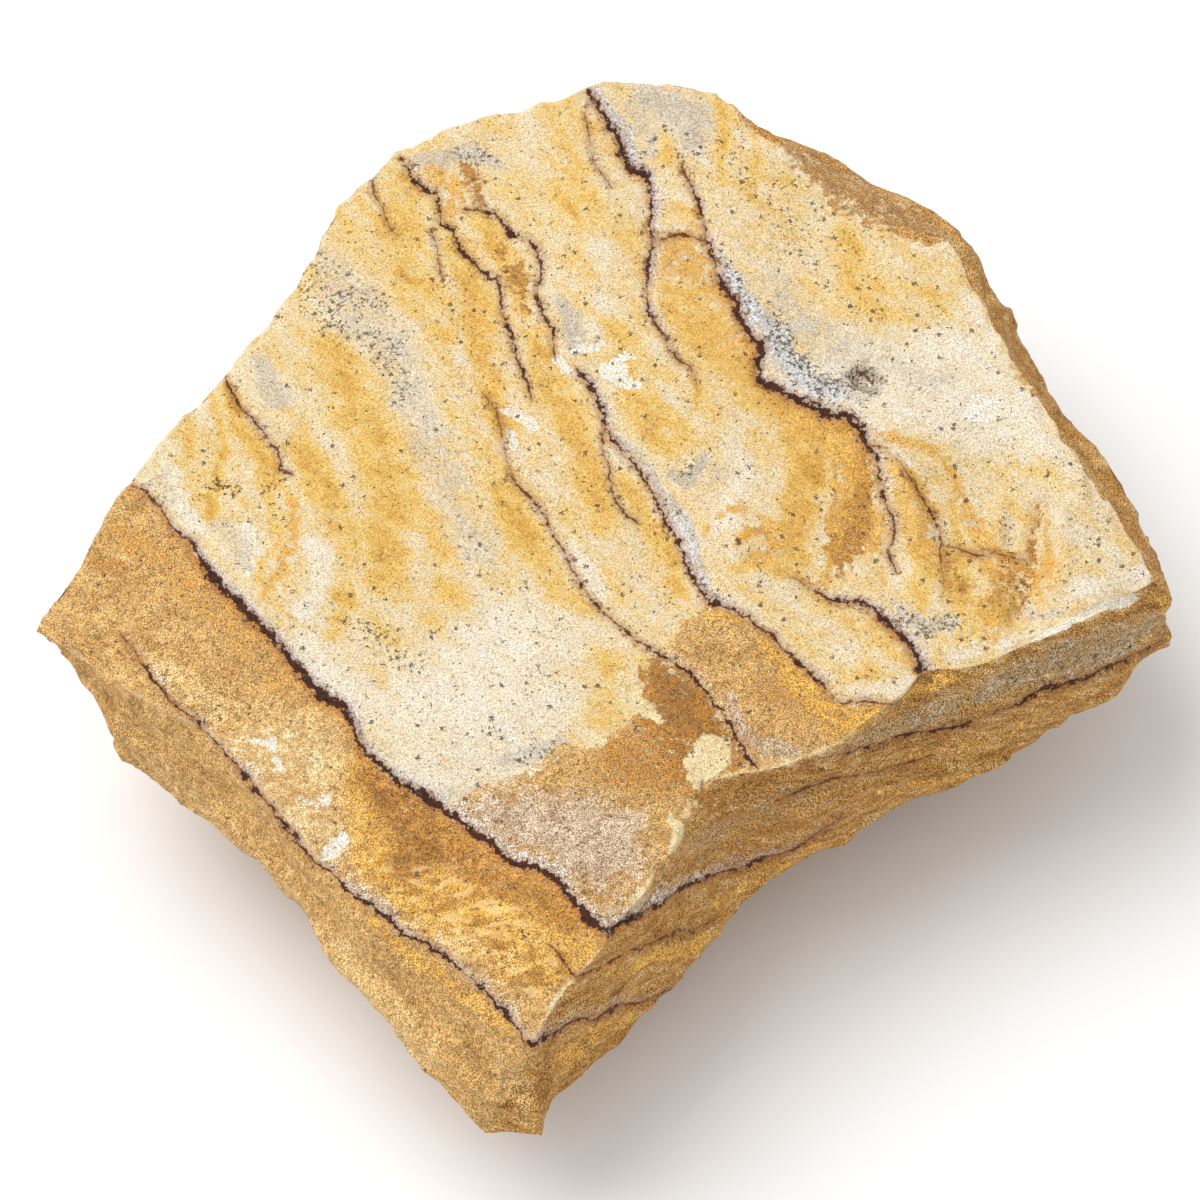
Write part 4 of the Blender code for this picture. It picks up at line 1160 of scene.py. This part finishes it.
def grain_shares(rock):
    """How sugary a place is, and how loud its grain is: the walls are as loud as sugary ground."""
    bare = rock.minus(1.0, rock.clamped(rock.field("chip"), rock.times(rock.field("cream"), 0.8)))
    kinds = rock.mix(*((rock.field(kind), share) for kind, share in SUGARY.items()))
    sugary = rock.times(rock.clamped(kinds), bare)
    return sugary, rock.times(rock.clamped(sugary, rock.minus(1.0, rock.field("top"))), bare)


def lay_grain(rock, colour, sugary, loud):
    """The grain of the stone, with glints and dark grains where it is sugary."""
    sugar = rock.rise(rock.mix((rock.micro, 0.7), (rock.fine, 0.2), (rock.small, 0.1)), 0.4, 0.6)
    calm = rock.blend(rock.rise(rock.fine, 0.36, 0.62), *CALM)
    colour = rock.blend(1.0, colour, rock.blend(loud, calm, rock.blend(sugar, *LOUD)), "MULTIPLY")
    glint = rock.times(rock.rise(rock.micro, 0.37, 0.3), sugary, 0.8)
    colour = rock.blend(glint, colour, srgb(*GLINT))
    shade = rock.times(rock.rise(rock.pepper, 0.6, 0.68), sugary, 0.5)
    return rock.blend(shade, colour, srgb(*SHADE))


def lay_scales(rock, colour):
    """Painted highlights and painted shade of the scales, longer along the stone's width, on the scaly ground.
    """
    scales = rock.field("scales")
    flakes = rock.grain(0.75, 1.0, 0.6, rock.vector("MULTIPLY", rock.place, (0.42, 1.0, 1.0)))
    # Lighter where the flake noise is high, darker where it is low: painted highlight and painted shade
    colour = rock.blend(rock.times(scales, rock.rise(flakes, 0.54, 0.66), 0.5), colour, srgb(*SCALE_HIGHLIGHT))
    return rock.blend(rock.times(scales, rock.rise(flakes, 0.47, 0.36), 0.45), colour, srgb(*SCALE_SHADE))


def vein_lines(rock):
    """For each group: half width, how deep inside the wandering vein a place is, and if there is a vein."""
    jag = rock.times(rock.minus(rock.grain(0.9, 3.0, 0.75), 0.5), 1.8)
    lines = []
    for group in VEIN_GROUPS:
        width = rock.times(rock.field("width_" + group), 0.79)
        wander = rock.times(jag, rock.rise(width, 0.0, 0.2))
        offset = rock.math("ABSOLUTE", rock.plus(rock.field("offset_" + group), wander))
        reach = rock.mix((width, 2.1), (1.0, 0.22))
        depth = rock.shifted(rock.minus(width, offset), rock.crumble, reach)
        lines.append((width, depth, rock.rise(width, 0.0, 0.05)))
    return lines


def lay_specks(rock, colour, sugary, lines):
    """Dark specks and larger blots, denser beside the veins, in painted clusters and as painted shade in pits
    and creases.
    """
    crumbs = rock.plus(*(rock.times(rock.rise(depth, -0.9, 0.0), present) for _, depth, present in lines))
    painted = rock.times(rock.field("specks"), rock.field("top"), rock.mix((rock.clouds, 3.0), (0.5, -1.0)))
    # The last field thickens the specks into clusters and into painted shade in pits, creases and a crevice
    density = rock.mix((painted, 1.0), (sugary, -0.3), (crumbs, 0.6), (rock.field("specks_and_shade"), 1.15))
    limit = rock.mix((density, -0.12), (1.0, 0.71))
    dark = rock.times(rock.rise(rock.minus(rock.pepper, limit), 0.0, 0.03), rock.rise(rock.micro, 0.36, 0.5))
    colour = rock.blend(rock.times(dark, 0.92), colour, srgb(*SPECK))
    away, pick = rock.cells(0.95)
    chosen = rock.math("LESS_THAN", pick, rock.times(density, 0.75))
    inside = rock.rise(rock.shifted(away, rock.fine, 0.9), 0.26, 0.16)
    return rock.blend(rock.times(chosen, inside, 0.85), colour, srgb(*BLOT))


def lay_worn_rim(rock, colour):
    """The pale, worn rim of the top."""
    worn = rock.rise(rock.shifted(rock.field("rim"), rock.mottle, 5.0), 0.2, -0.1)
    return rock.blend(rock.times(worn, 0.35), colour, srgb(*WORN))


def lay_veins(rock, colour, lines):
    """The veins: a brown stain round a nearly black core, which is paler where the vein is a hairline."""
    for width, depth, present in lines:
        stain = rock.times(rock.rise(depth, -0.65, 0.05), present, 0.5)
        colour = rock.blend(stain, colour, srgb(*STAIN))
        core = rock.blend(rock.rise(width, 0.05, 0.14), srgb(*HAIRLINE), rock.tinted(rock.tone, CORE))
        colour = rock.blend(rock.times(rock.rise(depth, -0.05, 0.08), present), colour, core)
    return colour


def set_surface(rock, colour):
    """The shader's colour, a matt finish and a fine bump."""
    rock.put(rock.shader.inputs["Base Color"], colour)
    rock.put(rock.shader.inputs["Roughness"], rock.plus(rock.times(rock.small, 0.2), 0.72))
    rock.shader.inputs["Specular IOR Level"].default_value = 0.25
    bump = rock.tree.nodes.new("ShaderNodeBump")
    bump.inputs["Strength"].default_value = 0.7
    bump.inputs["Distance"].default_value = 0.2 * MM
    rock.put(bump.inputs["Height"], rock.mix((rock.fine, 0.6), (rock.small, 0.5)))
    rock.put(rock.shader.inputs["Normal"], bump.outputs["Normal"])


def stone_material():
    rock = Rock()
    colour = rock.blend(rock.field("top"), wall_colour(rock), ground_colour(rock))
    colour = lay_kinds(rock, colour)
    colour = lay_rust_and_frost(rock, colour)
    sugary, loud = grain_shares(rock)
    colour = lay_grain(rock, colour, sugary, loud)
    colour = lay_scales(rock, colour)
    lines = vein_lines(rock)
    colour = lay_specks(rock, colour, sugary, lines)
    colour = lay_worn_rim(rock, colour)
    set_surface(rock, lay_veins(rock, colour, lines))
    return rock.material


def build_stone():
    data, rim_places = refined_copy()
    places, normals = arrays(data)
    photo = to_photo(places)
    seen = normals @ np.array(view_axes()[2]) < SEEN_LIMIT
    rim = rim_distance(places, rim_places)
    set_field(data, "rim", rim / MM)
    offsets, widths, frost = paint_veins(data, places, photo, seen)
    painted = paint_colours(data, places, photo, seen)
    top = top_of_corners(data)
    scaly = stroke_share(photo, SCALES, SCALES_SOFTNESS)
    set_field(data, "scales", scaly * top)
    height = top * top_relief(places, photo, painted, scaly)
    height += (1.0 - top) * (waves(places, WALL_WAVES) + ledges(places))
    height += FROST_HEIGHT * np.clip(frost, 0.0, 1.0) - CHIP_DEPTH * painted["chip"]
    height -= grooves(offsets, widths) + rim_chips(places, rim)
    roughen(data, places, normals, height)
    data.materials.append(stone_material())
    data.shade_smooth()
    data.set_sharp_from_angle(angle=SHADING_ANGLE)
    stone = bpy.data.objects.new("stone", data)
    bpy.context.scene.collection.objects.link(stone)
    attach(stone, "root")
    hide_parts(STONE)


def add_floor():
    """A pale paper floor."""
    bpy.ops.mesh.primitive_plane_add(size=FLOOR_SIZE, location=(0.0, 0.0, -FLOOR_GAP))
    floor = bpy.context.object
    floor.name = "floor"
    paper = bpy.data.materials.new("floor_paper")
    paper.use_nodes = True
    shader = paper.node_tree.nodes["Principled BSDF"]
    shader.inputs["Base Color"].default_value = FLOOR_TONE
    shader.inputs["Roughness"].default_value = FLOOR_ROUGHNESS
    floor.data.materials.append(paper)


def add_light():
    """A white sky and one soft box, up on the left."""
    world = bpy.data.worlds.new("studio")
    world.use_nodes = True
    sky = world.node_tree.nodes["Background"]
    sky.inputs["Color"].default_value = (1.0, 1.0, 1.0, 1.0)
    sky.inputs["Strength"].default_value = SKY_STRENGTH
    bpy.context.scene.world = world
    lamp = bpy.data.lights.new("softbox", "AREA")
    lamp.shape = "RECTANGLE"
    lamp.size, lamp.size_y = LAMP_SIZE
    lamp.energy = LAMP_POWER
    box = bpy.data.objects.new("softbox", lamp)
    box.location = LAMP_PLACE
    box.rotation_euler = (-LAMP_PLACE).to_track_quat("-Z", "Y").to_euler()
    bpy.context.scene.collection.objects.link(box)
    bpy.context.scene.view_settings.view_transform = "Standard"


add_camera()
build_stone()
add_floor()
add_light()
